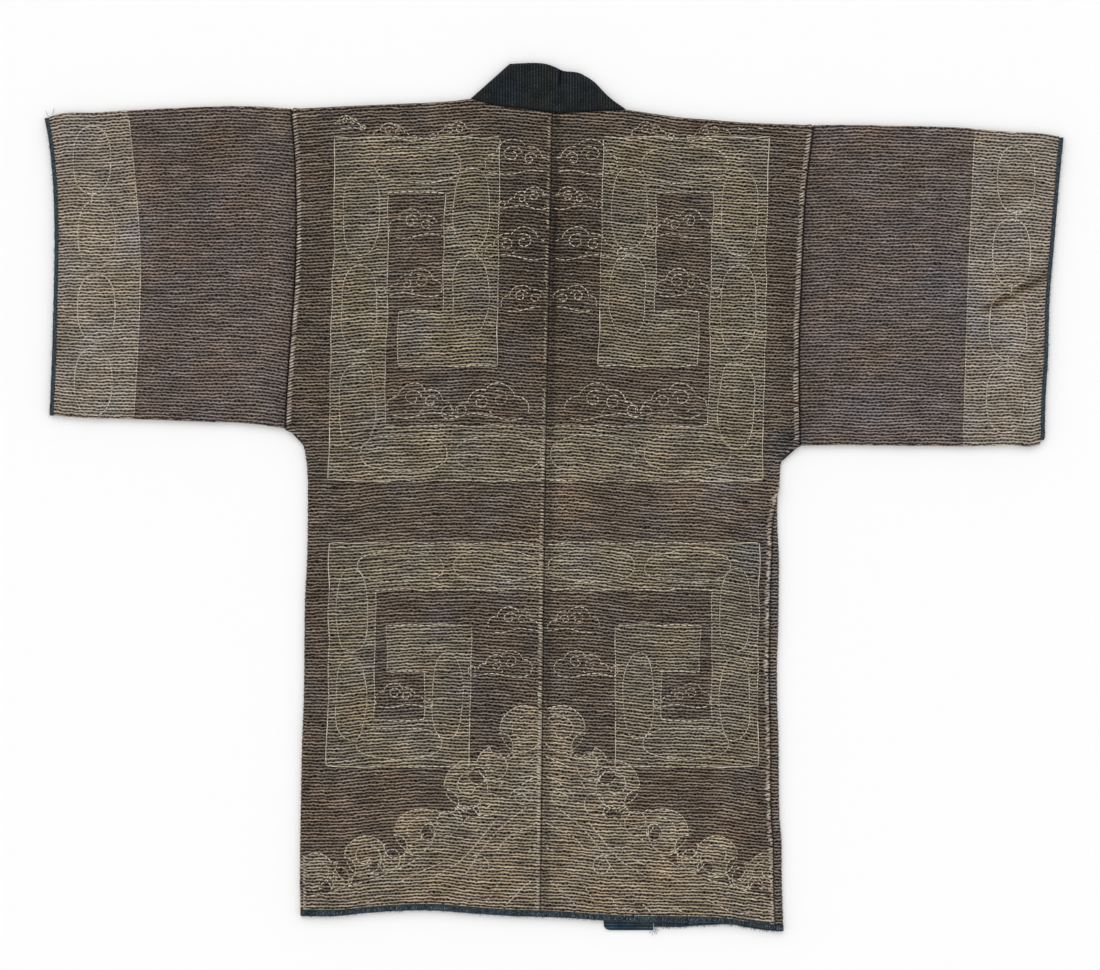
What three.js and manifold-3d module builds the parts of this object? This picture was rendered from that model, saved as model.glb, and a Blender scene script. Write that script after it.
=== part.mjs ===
// A Japanese fireman's coat of thick quilted cotton, laid face down on a flat surface with its arms out, so that its
// back shows. Millimetres: +X is the wearer's right, +Y runs up the coat to the collar, +Z is up off the surface.
// The cloth lies in two layers. The fronts and the collar bands lie on the surface, the two halves of the back lie on
// them, and each sleeve is a flattened tube. The cloth's folded edges, at the shoulders and sides, belong to the fronts.
import * as THREE from "three";
import { mergeVertices } from "three/addons/utils/BufferGeometryUtils.js";
import Module from "manifold-3d";

// Driving dimensions
const seamGap = 0.3; // between two pieces that are sewn together or lie on each other
const frontCloth = 3.6; // thickness of the lower layer
const backCloth = 3.2; // wall of the upper layer, between its plain inside and a furrow of the quilting
const rowHeight = 0.8; // a quilted row stands this high over its furrows
const rowPitch = 3.9; // from one quilted row to the next
const foldWidth = 4.5; // cloth that a folded edge takes, seen from above
const hemBinding = 8; // width of the bindings at the hem
const cuffBinding = 5.5; // width of the bindings at the cuffs
const collarCloth = 4.2; // thickness of the collar behind the neck, between its ribs
const ribHeight = 0.5; // a rib of the collar
const ribPitch = 3.9;
const foldRadius = 1.2; // of the edge of a single strip of cloth
const sleeveLength = 300; // about, from the armhole to the cuff
const clothTop = frontCloth + seamGap + backCloth; // height of the upper layer's furrows
const backUnder = frontCloth + seamGap; // height of the upper layer's plain inside
const collarTop = backUnder + collarCloth;

// The plan of each half, seen from above. side is the outer edge from the hem to the armpit, with the width of cloth
// that turns over there, armhole the seam above it, columns the ends of the rows across the back, as a share of the
// way from the centre-back seam, and sleeve its lower and upper edge at a share of its length.
const centreSeam = [
  { y: -520, x: -17 },
  { y: -3, x: -11 },
  { y: 475, x: -2 },
];
const left = {
  name: "left",
  outward: -1,
  side: [
    { y: -511, x: -309.5, turn: foldWidth },
    { y: -467, x: -310, turn: foldWidth },
    { y: -369, x: -309, turn: foldWidth },
    { y: -296, x: -307.5, turn: foldWidth },
    { y: -247, x: -305.5, turn: foldWidth },
    { y: -125, x: -304, turn: foldWidth },
    { y: -76, x: -301.5, turn: foldWidth },
    { y: 0, x: -300.5, turn: foldWidth },
    { y: 21, x: -300.5, turn: foldWidth },
    { y: 46, x: -302.5, turn: foldWidth },
    { y: 60, x: -305, turn: foldWidth },
    { y: 70, x: -308, turn: foldWidth },
    { y: 77, x: -314, turn: foldWidth },
    { y: 81, x: -321, turn: foldWidth },
    { y: 84, x: -328, turn: foldWidth },
  ],
  armhole: [
    { y: 84, x: -328 },
    { y: 131, x: -326 },
    { y: 204, x: -321 },
    { y: 241, x: -318 },
    { y: 314, x: -315 },
    { y: 363, x: -315 },
    { y: 424, x: -317 },
    { y: 475, x: -321 },
  ],
  columns: [
    { across: 0, hem: -512, top: 470 },
    { across: 0.317, hem: -507, top: 487 },
    { across: 0.66, hem: -505, top: 480 },
    { across: 1, hem: -511, top: 475 },
  ],
  sleeve: [
    { along: 0, low: 84.5, high: 475 },
    { along: 0.12, low: 89, high: 477.5 },
    { along: 0.4, low: 93, high: 477 },
    { along: 0.92, low: 99, high: 469 },
    { along: 1, low: 107, high: 464 },
  ],
  cuff: [
    { y: 107, x: -616 },
    { y: 143, x: -614 },
    { y: 241, x: -611 },
    { y: 326, x: -610 },
    { y: 387, x: -612 },
    { y: 436, x: -617 },
    { y: 464, x: -622 },
  ],
  band: [
    { y: -505, outer: -156, inner: -95 },
    { y: 487, outer: -102, inner: -51 },
  ],
  bandFold: { x: -54, y: 530 },
  frontHem: [
    { x: -156, y: -503 },
    { x: -309.5, y: -511 },
  ],
};
const right = {
  name: "right",
  outward: 1,
  side: [
    { y: -530, x: 280, turn: 10 },
    { y: -467, x: 278, turn: 9.8 },
    { y: -418, x: 277.5, turn: 9.8 },
    { y: -393, x: 275.5, turn: 9.7 },
    { y: -296, x: 274, turn: 9.4 },
    { y: -247, x: 272.5, turn: 9.2 },
    { y: -198, x: 272.3, turn: 9.3 },
    { y: -174, x: 273.3, turn: 9.8 },
    { y: -100, x: 274.5, turn: 9.8 },
    { y: -76, x: 274.5, turn: 8.5 },
    { y: -27, x: 272.5, turn: 5 },
    { y: 0, x: 273, turn: foldWidth },
    { y: 21, x: 275, turn: foldWidth },
    { y: 47, x: 280, turn: foldWidth },
    { y: 54, x: 284, turn: foldWidth },
    { y: 59, x: 291, turn: foldWidth },
    { y: 63, x: 300.5, turn: foldWidth },
  ],
  armhole: [
    { y: 63, x: 300.5 },
    { y: 192, x: 299.5 },
    { y: 271, x: 302.5 },
    { y: 326, x: 304.5 },
    { y: 363, x: 306.5 },
    { y: 400, x: 310 },
    { y: 455, x: 317 },
  ],
  columns: [
    { across: 0, hem: -512, top: 470 },
    { across: 0.282, hem: -517, top: 474 },
    { across: 0.68, hem: -519.5, top: 460 },
    { across: 1, hem: -528, top: 455 },
  ],
  sleeve: [
    { along: 0, low: 63.5, high: 455 },
    { along: 0.5, low: 63, high: 453 },
    { along: 0.93, low: 65, high: 445 },
    { along: 1, low: 70, high: 440 },
  ],
  cuff: [
    { y: 70, x: 599 },
    { y: 119, x: 600 },
    { y: 168, x: 603 },
    { y: 241, x: 605 },
    { y: 314, x: 611 },
    { y: 387, x: 617 },
    { y: 440, x: 622 },
  ],
  band: [
    { y: -529, outer: 122, inner: 61 },
    { y: 474, outer: 88, inner: 37 },
  ],
  bandFold: { x: 29, y: 522 },
  frontHem: [
    { x: 122, y: -525 },
    { x: 154, y: -525 },
    { x: 183, y: -523 },
    { x: 215, y: -522 },
    { x: 239, y: -526 },
    { x: 259, y: -529 },
    { x: 280, y: -530 },
  ],
};
// Upper edge of the collar behind the neck, between the folds at its two ends
const napeEdge = [
  { x: -54, y: 530 },
  { x: -11, y: 530 },
  { x: 10, y: 522 },
  { x: 29, y: 522 },
];

const materials = {
  quilt: { color: 0x5a4f46, roughness: 0.95, metalness: 0 },
  sleeveQuilt: { color: 0x5c5149, roughness: 0.95, metalness: 0 },
  collar: { color: 0x252828, roughness: 0.9, metalness: 0 },
  binding: { color: 0x2a3540, roughness: 0.9, metalness: 0 },
};

const manifold = await Module();
manifold.setup();
const coat = new THREE.Group();
const mix = THREE.MathUtils.lerp;

// The value in one column of a table at a place in another column, straight between its rows
function read(table, key, place, column) {
  const rows = table.at(-1)[key] > table[0][key] ? table : [...table].reverse();
  let i = 0;
  while (i < rows.length - 2 && rows[i + 1][key] < place) i += 1;
  const share = (place - rows[i][key]) / (rows[i + 1][key] - rows[i][key]);
  return mix(rows[i][column], rows[i + 1][column], share);
}

// A path moved sideways, to its left if distance is positive. Where a table gives a width, distance is a function.
function offset(path, distance) {
  return path.map((row, i) => {
    const before = path[Math.max(i - 1, 0)];
    const after = path[Math.min(i + 1, path.length - 1)];
    const along = new THREE.Vector2(after.x - before.x, after.y - before.y).normalize();
    const far = typeof distance === "function" ? distance(row) : distance;
    return { ...row, x: row.x - along.y * far, y: row.y + along.x * far };
  });
}

// The triangles between two lines that run the same way, whose points lie at shares of their length
function stitch(a, b, firstA, firstB, faces) {
  let i = 0;
  let j = 0;
  while (i < a.points.length - 1 || j < b.points.length - 1) {
    const nextA = i < a.points.length - 1 ? a.shares[i + 1] : Infinity;
    const nextB = j < b.points.length - 1 ? b.shares[j + 1] : Infinity;
    if (nextA <= nextB) {
      faces.push([firstA + i, firstB + j, firstA + i + 1]);
      i += 1;
    } else {
      faces.push([firstA + i, firstB + j, firstB + j + 1]);
      j += 1;
    }
  }
}

// A closed surface over lines that run side by side round a section. endFaces gives the triangles of an end, as
// places in the list of lines.
function surface(lines, endFaces) {
  const points = [];
  const first = lines.map((line) => {
    points.push(...line.points);
    return points.length - line.points.length;
  });
  const faces = [];
  lines.forEach((line, i) => {
    const next = (i + 1) % lines.length;
    stitch(line, lines[next], first[i], first[next], faces);
  });
  for (const [a, b, c] of endFaces(lines.length)) {
    const last = (i) => first[i] + lines[i].points.length - 1;
    faces.push([first[a], first[c], first[b]], [last(a), last(b), last(c)]);
  }
  return geometryOf(points, faces);
}

// A geometry whose faces point out, whichever way its lines were listed
function geometryOf(points, faces) {
  const volume = faces.reduce((sum, [a, b, c]) => {
    return sum + new THREE.Vector3().crossVectors(points[a], points[b]).dot(points[c]);
  }, 0);
  const order = volume > 0 ? [0, 1, 2] : [0, 2, 1];
  const geometry = new THREE.BufferGeometry().setFromPoints(points);
  geometry.setIndex(faces.flatMap((face) => order.map((i) => face[i])));
  return geometry;
}

// End faces of a section with no hollow, as a fan, and of a flat slab listed over its top and back under it
function fan(count) {
  return Array.from({ length: count - 2 }, (_, i) => [0, i + 1, i + 2]);
}

function ladder(count) {
  return Array.from({ length: count / 2 - 1 }, (_, i) => [
    [i, i + 1, count - 1 - i],
    [i + 1, count - 2 - i, count - 1 - i],
  ]).flat();
}

function add(name, look, geometry) {
  geometry.computeVertexNormals();
  const mesh = new THREE.Mesh(geometry, new THREE.MeshStandardMaterial(materials[look]));
  mesh.name = name;
  coat.add(mesh);
}

// Two or more closed pieces joined into one
function join(...pieces) {
  const solids = pieces.map((piece) => {
    const bare = piece.clone();
    bare.deleteAttribute("normal");
    bare.deleteAttribute("uv");
    const merged = mergeVertices(bare, 1e-4);
    return new manifold.Manifold(
      new manifold.Mesh({
        numProp: 3,
        vertProperties: new Float32Array(merged.attributes.position.array),
        triVerts: new Uint32Array(merged.index.array),
      }),
    );
  });
  const mesh = solids.reduce((sum, solid) => sum.add(solid)).getMesh();
  const geometry = new THREE.BufferGeometry();
  geometry.setAttribute("position", new THREE.BufferAttribute(mesh.vertProperties, 3));
  return geometry.setIndex(new THREE.BufferAttribute(mesh.triVerts, 1));
}

// A strip along an edge of the coat: the path is its outer edge, it reaches inward by its width, and it goes from low
// to high. inward is 1 or -1 for a strip that reaches straight up or down the coat, and is left out for one that
// reaches to the left of its path. Its outer edge is rounded, more so on its upper side.
function strip(path, inward) {
  const inner = inward
    ? path.map((row) => ({ ...row, y: row.y + inward * row.width }))
    : offset(path, (row) => row.width);
  const shares = path.map((_, i) => i / (path.length - 1));
  const line = (reach, height) => ({
    shares,
    points: path.map((row, i) => {
      const share = reach(row) / row.width;
      return new THREE.Vector3(mix(row.x, inner[i].x, share), mix(row.y, inner[i].y, share), height(row));
    }),
  });
  return surface(
    [
      line(() => 0, (row) => row.low + foldRadius),
      line(() => 0, (row) => row.high - 1.5 * foldRadius),
      line(() => 0.7 * foldRadius, (row) => row.high - 0.4 * foldRadius),
      line(() => 2 * foldRadius, (row) => row.high),
      line((row) => row.width, (row) => row.high),
      line((row) => row.width, (row) => row.low),
      line(() => foldRadius, (row) => row.low),
    ],
    fan,
  );
}

function slab(outline, thickness) {
  const shape = new THREE.Shape(outline.map(({ x, y }) => new THREE.Vector2(x, y)));
  return new THREE.ExtrudeGeometry(shape, { depth: thickness, bevelEnabled: false });
}

// The point of a half of the coat at a share of the way out from the centre seam and a height
function across(half, share, y, edge) {
  return mix(read(centreSeam, "y", y, "x"), read(edge, "y", y, "x"), share);
}

// The outer edge of a half of the back: inside the fold at its side, then along the armhole. turned is the path from
// the hem up, so the coat lies to its right on the left half and to its left on the right half.
function backEdge(half) {
  const turned = offset(half.side, (row) => half.outward * (row.turn + seamGap));
  const start = turned.at(-1).y + seamGap;
  const sleeved = half.armhole.filter((row) => row.y > start);
  const armhole = [{ y: start, x: read(half.armhole, "y", start, "x") }, ...sleeved];
  return [...turned, ...armhole.map((row) => ({ ...row, x: row.x - (half.outward * seamGap) / 2 }))];
}

// Lower and upper end of the cloth of the back in each column: inside the hem binding, and below the shoulder's fold
function backColumns(half) {
  return half.columns.map((column) => ({
    across: column.across,
    hem: column.hem + hemBinding + seamGap,
    top: column.across ? column.top - foldWidth - seamGap : column.top,
  }));
}

// Half of the back: one quilted length of cloth. Its rows run across it as ridges on its upper side, and its inside is
// plain.
function makeBack(half) {
  const edge = backEdge(half);
  const columns = backColumns(half);
  const rows = Math.round((columns[0].top - columns[0].hem) / rowPitch);
  const seamShift = (half.outward * seamGap) / 2;
  const place = (column, share, height) => {
    const y = mix(column.hem, column.top, share);
    const shift = column.across ? 0 : seamShift;
    return new THREE.Vector3(across(half, column.across, y, edge) + shift, y, height);
  };
  const ridged = columns.map((column) => {
    const shares = Array.from({ length: 2 * rows + 1 }, (_, i) => i / (2 * rows));
    return {
      shares,
      points: shares.map((share, i) => place(column, share, clothTop + (i % 2) * rowHeight)),
    };
  });
  const plain = columns.map((column) => {
    const turns = (column.across === 1 ? edge : centreSeam).map(
      (row) => (row.y - column.hem) / (column.top - column.hem),
    );
    const shares = [0, ...turns.filter((share) => share > 0.001 && share < 0.999), 1];
    return { shares, points: shares.map((share) => place(column, share, backUnder)) };
  });
  add("back_" + half.name, "quilt", surface([...ridged, ...plain.reverse()], ladder));
}

// One front: it lies on the surface, plain on both sides there, with the folds of the cloth at the shoulder and the
// side standing up from it to the height of the back.
function makeFront(half) {
  const out = half.outward;
  const bandEdge = (y) => read(half.band, "y", y, "outer") + out * seamGap;
  const neck = half.columns[1];
  const corner = half.armhole.at(-1);
  const armholeEnd = read(half.armhole, "y", corner.y - foldWidth, "x") - out * seamGap;
  const low = 0;
  const high = clothTop + rowHeight / 2;
  const middle = half.columns[2];
  const shoulder = [
    { x: bandEdge(neck.top), y: neck.top },
    { x: across(half, middle.across, middle.top, half.armhole), y: middle.top },
    { x: armholeEnd, y: corner.y },
  ].map((row) => ({ ...row, width: foldWidth, low, high }));
  const side = half.side.map((row) => ({ ...row, width: row.turn, low, high }));
  side[0].y += hemBinding + 2 * seamGap;
  const sidePath = out > 0 ? side : [...side].reverse();
  const inSide = offset(side, (out * foldWidth) / 2);
  const inShoulder = shoulder.map((row) => ({ ...row, y: row.y - foldWidth / 2 })).reverse();
  const armhole = half.armhole.slice(1, -1).map((row) => ({ ...row, x: row.x - (out * seamGap) / 2 }));
  const hem = half.frontHem.map((row) => ({ x: row.x, y: row.y + hemBinding + seamGap }));
  hem[0].x = bandEdge(hem[0].y);
  hem.at(-1).x = inSide[0].x;
  const outline = [...hem, ...inSide.slice(1), ...armhole, ...inShoulder];
  const pieces = [slab(outline, frontCloth), strip(shoulder, -1), strip(sidePath)];
  add("front_" + half.name, "quilt", join(...pieces));
}

// The point of a sleeve at a share of its length and of its depth, moved in from its lower or upper edge
function sleevePoint(half, along, depth, inset, height) {
  const low = read(half.sleeve, "along", along, "low");
  const high = read(half.sleeve, "along", along, "high");
  const y = mix(low, high, depth) + inset;
  const armhole = read(half.armhole, "y", y, "x") + (half.outward * seamGap) / 2;
  return new THREE.Vector3(mix(armhole, read(half.cuff, "y", y, "x"), along), y, height);
}

// A flattened tube of cloth folded along its two long edges, open at both ends, with its layers a seam gap apart.
// ridges are the rows of its upper side, as shares of its depth with a height over the furrows. Each line along the
// tube has its place round it: 0 to 1 up the coat on the upper side, then 1 to 2 back under it.
function flatTube(half, stations, top, ridges) {
  const line = (place, depth, inset, height) => ({
    place,
    shares: stations,
    points: stations.map((along) => sleevePoint(half, along, depth, inset, height)),
  });
  const fold = [
    { inset: foldRadius, height: 0 },
    { inset: 0, height: foldRadius },
    { inset: 0, height: top - 1.5 * foldRadius },
    { inset: 0.7 * foldRadius, height: top - 0.4 * foldRadius },
  ];
  const level = [0.12, 0.3, 0.4, 0.6, 0.72, 0.87]; // depths at which the armhole and the cuff bend
  const outer = [
    line(0, 0, 2 * foldRadius, top),
    ...ridges.map((row) => line(row.depth, row.depth, 0, top + row.rise)),
    line(1, 1, -2 * foldRadius, top),
    ...[...fold].reverse().map((row) => line(1, 1, -row.inset, row.height)),
    ...[...level].reverse().map((depth) => line(2 - depth, depth, 0, 0)),
    ...fold.map((row) => line(2, 0, row.inset, row.height)),
  ];
  const inner = [
    line(0, 0, foldWidth, backUnder),
    ...level.map((depth) => line(depth, depth, 0, backUnder)),
    line(1, 1, -foldWidth, backUnder),
    line(1, 1, -foldWidth, frontCloth),
    ...[...level].reverse().map((depth) => line(2 - depth, depth, 0, frontCloth)),
    line(2, 0, foldWidth, frontCloth),
  ];
  const points = [];
  const place = (loop) => loop.map((each) => points.push(...each.points) - each.points.length);
  const loops = [outer, inner].map((loop) => ({ lines: loop, first: place(loop) }));
  const faces = [];
  loops.forEach(({ lines, first }, inside) => {
    const skin = [];
    lines.forEach((each, i) => {
      const next = (i + 1) % lines.length;
      stitch(each, lines[next], first[i], first[next], skin);
    });
    faces.push(...skin.map((face) => (inside ? face.reverse() : face)));
  });
  for (const end of [0, stations.length - 1]) {
    const [round, slit] = loops.map(({ lines, first }) => ({
      corners: [...first, first[0]].map((i) => i + end),
      shares: [...lines.map((each) => each.place), 2],
    }));
    const ring = [];
    stitch({ points: round.corners, ...round }, { points: slit.corners, ...slit }, 0, points.length, ring);
    const corner = (i) => (i < points.length ? round.corners[i] : slit.corners[i - points.length]);
    faces.push(...ring.map((face) => (end ? face.reverse() : face).map(corner)));
  }
  return geometryOf(points, faces);
}

function makeSleeve(half) {
  const bound = cuffBinding / sleeveLength; // share of the sleeve that its binding takes
  const end = 1 - bound - seamGap / sleeveLength;
  const depth = half.sleeve[2].high - half.sleeve[2].low;
  const bare = 2.5 * foldRadius; // from each folded edge to the rows
  const rows = Math.round((depth - 2 * bare) / rowPitch);
  const ridges = Array.from({ length: 2 * rows - 1 }, (_, i) => ({
    depth: mix(bare / depth, 1 - bare / depth, (i + 1) / (2 * rows)),
    rise: i % 2 ? 0 : rowHeight,
  }));
  const stations = half.sleeve.map((row) => row.along).filter((along) => along < end);
  add("sleeve_" + half.name, "sleeveQuilt", flatTube(half, [...stations, end], clothTop, ridges));
  add("cuff_" + half.name, "binding", flatTube(half, [1 - bound, 1], clothTop + rowHeight, []));
}

// A collar band: it lies on the surface along the front's inner edge, from the hem to the slanting fold at the neck
function makeBand(half) {
  const [hem, neck] = half.band;
  const fold = [
    { x: neck.outer, y: neck.y },
    { x: half.bandFold.x, y: half.bandFold.y },
  ].map((row) => ({ ...row, width: foldWidth, low: 0, high: collarTop }));
  const foldPath = half.outward > 0 ? fold : [...fold].reverse();
  const inFold = offset(foldPath, foldWidth / 2);
  const [outerEnd, innerEnd] = half.outward > 0 ? inFold : [...inFold].reverse();
  outerEnd.x = neck.outer;
  outerEnd.y -= foldWidth / 2;
  const outline = [
    { x: hem.outer, y: hem.y },
    outerEnd,
    innerEnd,
    { x: neck.inner, y: neck.y },
    { x: hem.inner, y: hem.y },
  ];
  add("collar_" + half.name, "collar", join(slab(outline, frontCloth), strip(foldPath)));
}

// The collar behind the neck, with fine ribs up and down it, between the folds at its ends
function makeNape() {
  const seamEnd = read(centreSeam, "y", left.columns[0].top, "x");
  const under = (x) => {
    const half = x < seamEnd ? left : right;
    const [centre, shoulder] = backColumns(half);
    const place = { x: half.band.at(-1).outer, y: shoulder.top };
    const middle = { x: read(centreSeam, "y", centre.top, "x"), y: centre.top };
    return read([middle, place], "x", x, "y") + seamGap;
  };
  const over = (x) => {
    const inFold = (half) => {
      const neck = half.band.at(-1);
      const rise = (half.bandFold.y - neck.y) / (half.bandFold.x - neck.outer);
      return neck.y + (x - neck.outer) * rise - (foldWidth + seamGap) * Math.hypot(1, rise);
    };
    return Math.min(inFold(left), inFold(right), read(napeEdge, "x", x, "y"));
  };
  const from = left.band.at(-1).outer + foldWidth;
  const to = right.band.at(-1).outer - foldWidth;
  const ribs = Math.round((to - from) / ribPitch);
  const fine = Array.from({ length: 2 * ribs + 1 }, (_, i) => i / (2 * ribs));
  const bends = [left.bandFold.x, ...napeEdge.slice(1).map((row) => row.x), seamEnd];
  const coarse = [0, ...bends.sort((a, b) => a - b).map((x) => (x - from) / (to - from)), 1];
  const line = (shares, placeOf, heightOf) => ({
    shares,
    points: shares.map((share, i) => {
      const x = mix(from, to, share);
      return new THREE.Vector3(x, placeOf(x), heightOf(i));
    }),
  });
  const ribbed = (i) => collarTop + (i % 2) * ribHeight;
  const lines = [
    line(coarse, under, () => backUnder),
    line(fine, under, ribbed),
    line(fine, (x) => over(x) - foldRadius, ribbed),
    line(coarse, over, () => collarTop - foldRadius),
    line(coarse, over, () => backUnder + foldRadius),
    line(coarse, (x) => over(x) - foldRadius, () => backUnder),
  ];
  add("collar_nape", "collar", surface(lines, fan));
}

// The bindings along the hem. On the left the back's binding goes round the fold at the side, on the right the
// front's does.
function makeHems() {
  const level = { width: hemBinding, low: backUnder, high: clothTop + rowHeight };
  const lower = { width: hemBinding, low: 0, high: frontCloth };
  const full = { width: hemBinding, low: 0, high: clothTop + rowHeight };
  const hemPoint = (half, column) => ({
    x: across(half, column.across, column.hem, backEdge(half)),
    y: column.hem,
    ...level,
  });
  const [corner, rightCorner] = [left.side[0], right.side[0]];
  const backEnd = rightCorner.x - rightCorner.turn - seamGap;
  add(
    "hem_back",
    "binding",
    strip(
      [
        { x: corner.x, y: corner.y, ...full },
        { x: corner.x + foldWidth - seamGap, y: corner.y, ...full },
        { x: corner.x + foldWidth, y: corner.y, ...level },
        ...[left.columns[2], left.columns[1]].map((column) => hemPoint(left, column)),
        ...right.columns.slice(0, 3).map((column) => hemPoint(right, column)),
        { x: backEnd, y: right.columns[3].hem, ...level },
      ],
      1,
    ),
  );
  const bandEnd = (half) => read(half.band, "y", half.frontHem[0].y, "outer") + half.outward * seamGap;
  add(
    "hem_front_left",
    "binding",
    strip(
      [
        { x: corner.x + foldWidth + seamGap, y: left.frontHem[1].y, ...lower },
        { x: bandEnd(left), y: left.frontHem[0].y, ...lower },
      ],
      1,
    ),
  );
  const turnEnd = right.frontHem.at(-1);
  add(
    "hem_front_right",
    "binding",
    strip(
      [
        { x: bandEnd(right), y: right.frontHem[0].y, ...lower },
        ...right.frontHem.slice(1, -1).map((row) => ({ ...row, ...lower })),
        { x: backEnd + seamGap, y: turnEnd.y, ...lower },
        { x: backEnd + 2 * seamGap, y: turnEnd.y, ...full },
        { ...turnEnd, ...full },
      ],
      1,
    ),
  );
}

for (const half of [left, right]) {
  makeBack(half);
  makeFront(half);
  makeSleeve(half);
  makeBand(half);
}
makeNape();
makeHems();

export default coat;
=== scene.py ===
import bpy
import numpy as np
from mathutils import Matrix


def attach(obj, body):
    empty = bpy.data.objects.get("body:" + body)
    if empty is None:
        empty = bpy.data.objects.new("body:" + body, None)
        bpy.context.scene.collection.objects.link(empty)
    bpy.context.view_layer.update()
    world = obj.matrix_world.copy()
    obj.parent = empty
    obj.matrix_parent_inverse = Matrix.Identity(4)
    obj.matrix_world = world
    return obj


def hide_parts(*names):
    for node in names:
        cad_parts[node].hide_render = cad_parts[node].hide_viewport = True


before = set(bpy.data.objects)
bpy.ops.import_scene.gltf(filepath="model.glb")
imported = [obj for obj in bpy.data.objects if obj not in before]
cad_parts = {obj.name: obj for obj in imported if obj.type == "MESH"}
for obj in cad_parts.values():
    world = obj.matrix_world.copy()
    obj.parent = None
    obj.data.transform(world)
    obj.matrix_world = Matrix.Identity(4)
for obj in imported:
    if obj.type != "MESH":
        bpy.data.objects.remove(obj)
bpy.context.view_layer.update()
print("frame loaded")

# The camera looks straight down on the middle of the coat
view = {"x": -4.9, "y": 15.3, "height": 3177, "lens": 85, "sensor": 36}
cameraData = bpy.data.cameras.new("camera")
cameraData.lens = view["lens"]
cameraData.sensor_width = view["sensor"]
camera = bpy.data.objects.new("camera", cameraData)
camera.location = (view["x"] / 1000, view["y"] / 1000, view["height"] / 1000)
bpy.context.collection.objects.link(camera)
bpy.context.scene.camera = camera

# The cloth: one quilted wall for the back, over a plain wall for the front
cloth = {
    "rowPitch": 3.9,  # from one quilted row to the next
    "stitchPitch": 4.8,  # from one quilting stitch to the next
    "rowHeight": 1.0,  # a row over its furrows
    "pitDepth": 0.9,  # a stitch pulls the furrow down by this
    "furrowTop": 7.0,  # height of the furrows of the upper layer
    "upperInside": 3.9,  # height of the inner face of the upper layer, and of the lower layer
    "lowerInside": 3.6,
    "foldRadius": 3.55,  # outer radius of the cloth where it folds over
    "foldTurn": 2.8,  # how far round a fold the upper cloth is followed, in radians
    "rowsEnd": (1.4, 2.0),  # how far round a fold its rows fade out, in radians
    "seamGap": 0.3,
    "grooveDepth": 1.6,  # where two pieces meet
    "hemInset": 8.3,  # the quilted cloth ends this far above the hem, at its binding
    "cuffInset": 5.2,  # and this far inside the end of a sleeve
    "column": 2.5,  # from one line of points to the next along the rows
    "perRow": 3,  # lines of points in each row
    "backWidth": 290, "sleeveLength": 276,  # that the lines of points share out
    "lineEnds": (-505, 472),  # heights on the back between which its lines of points are laid out
    "frontLineEnds": (-500, 470),
}

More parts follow.
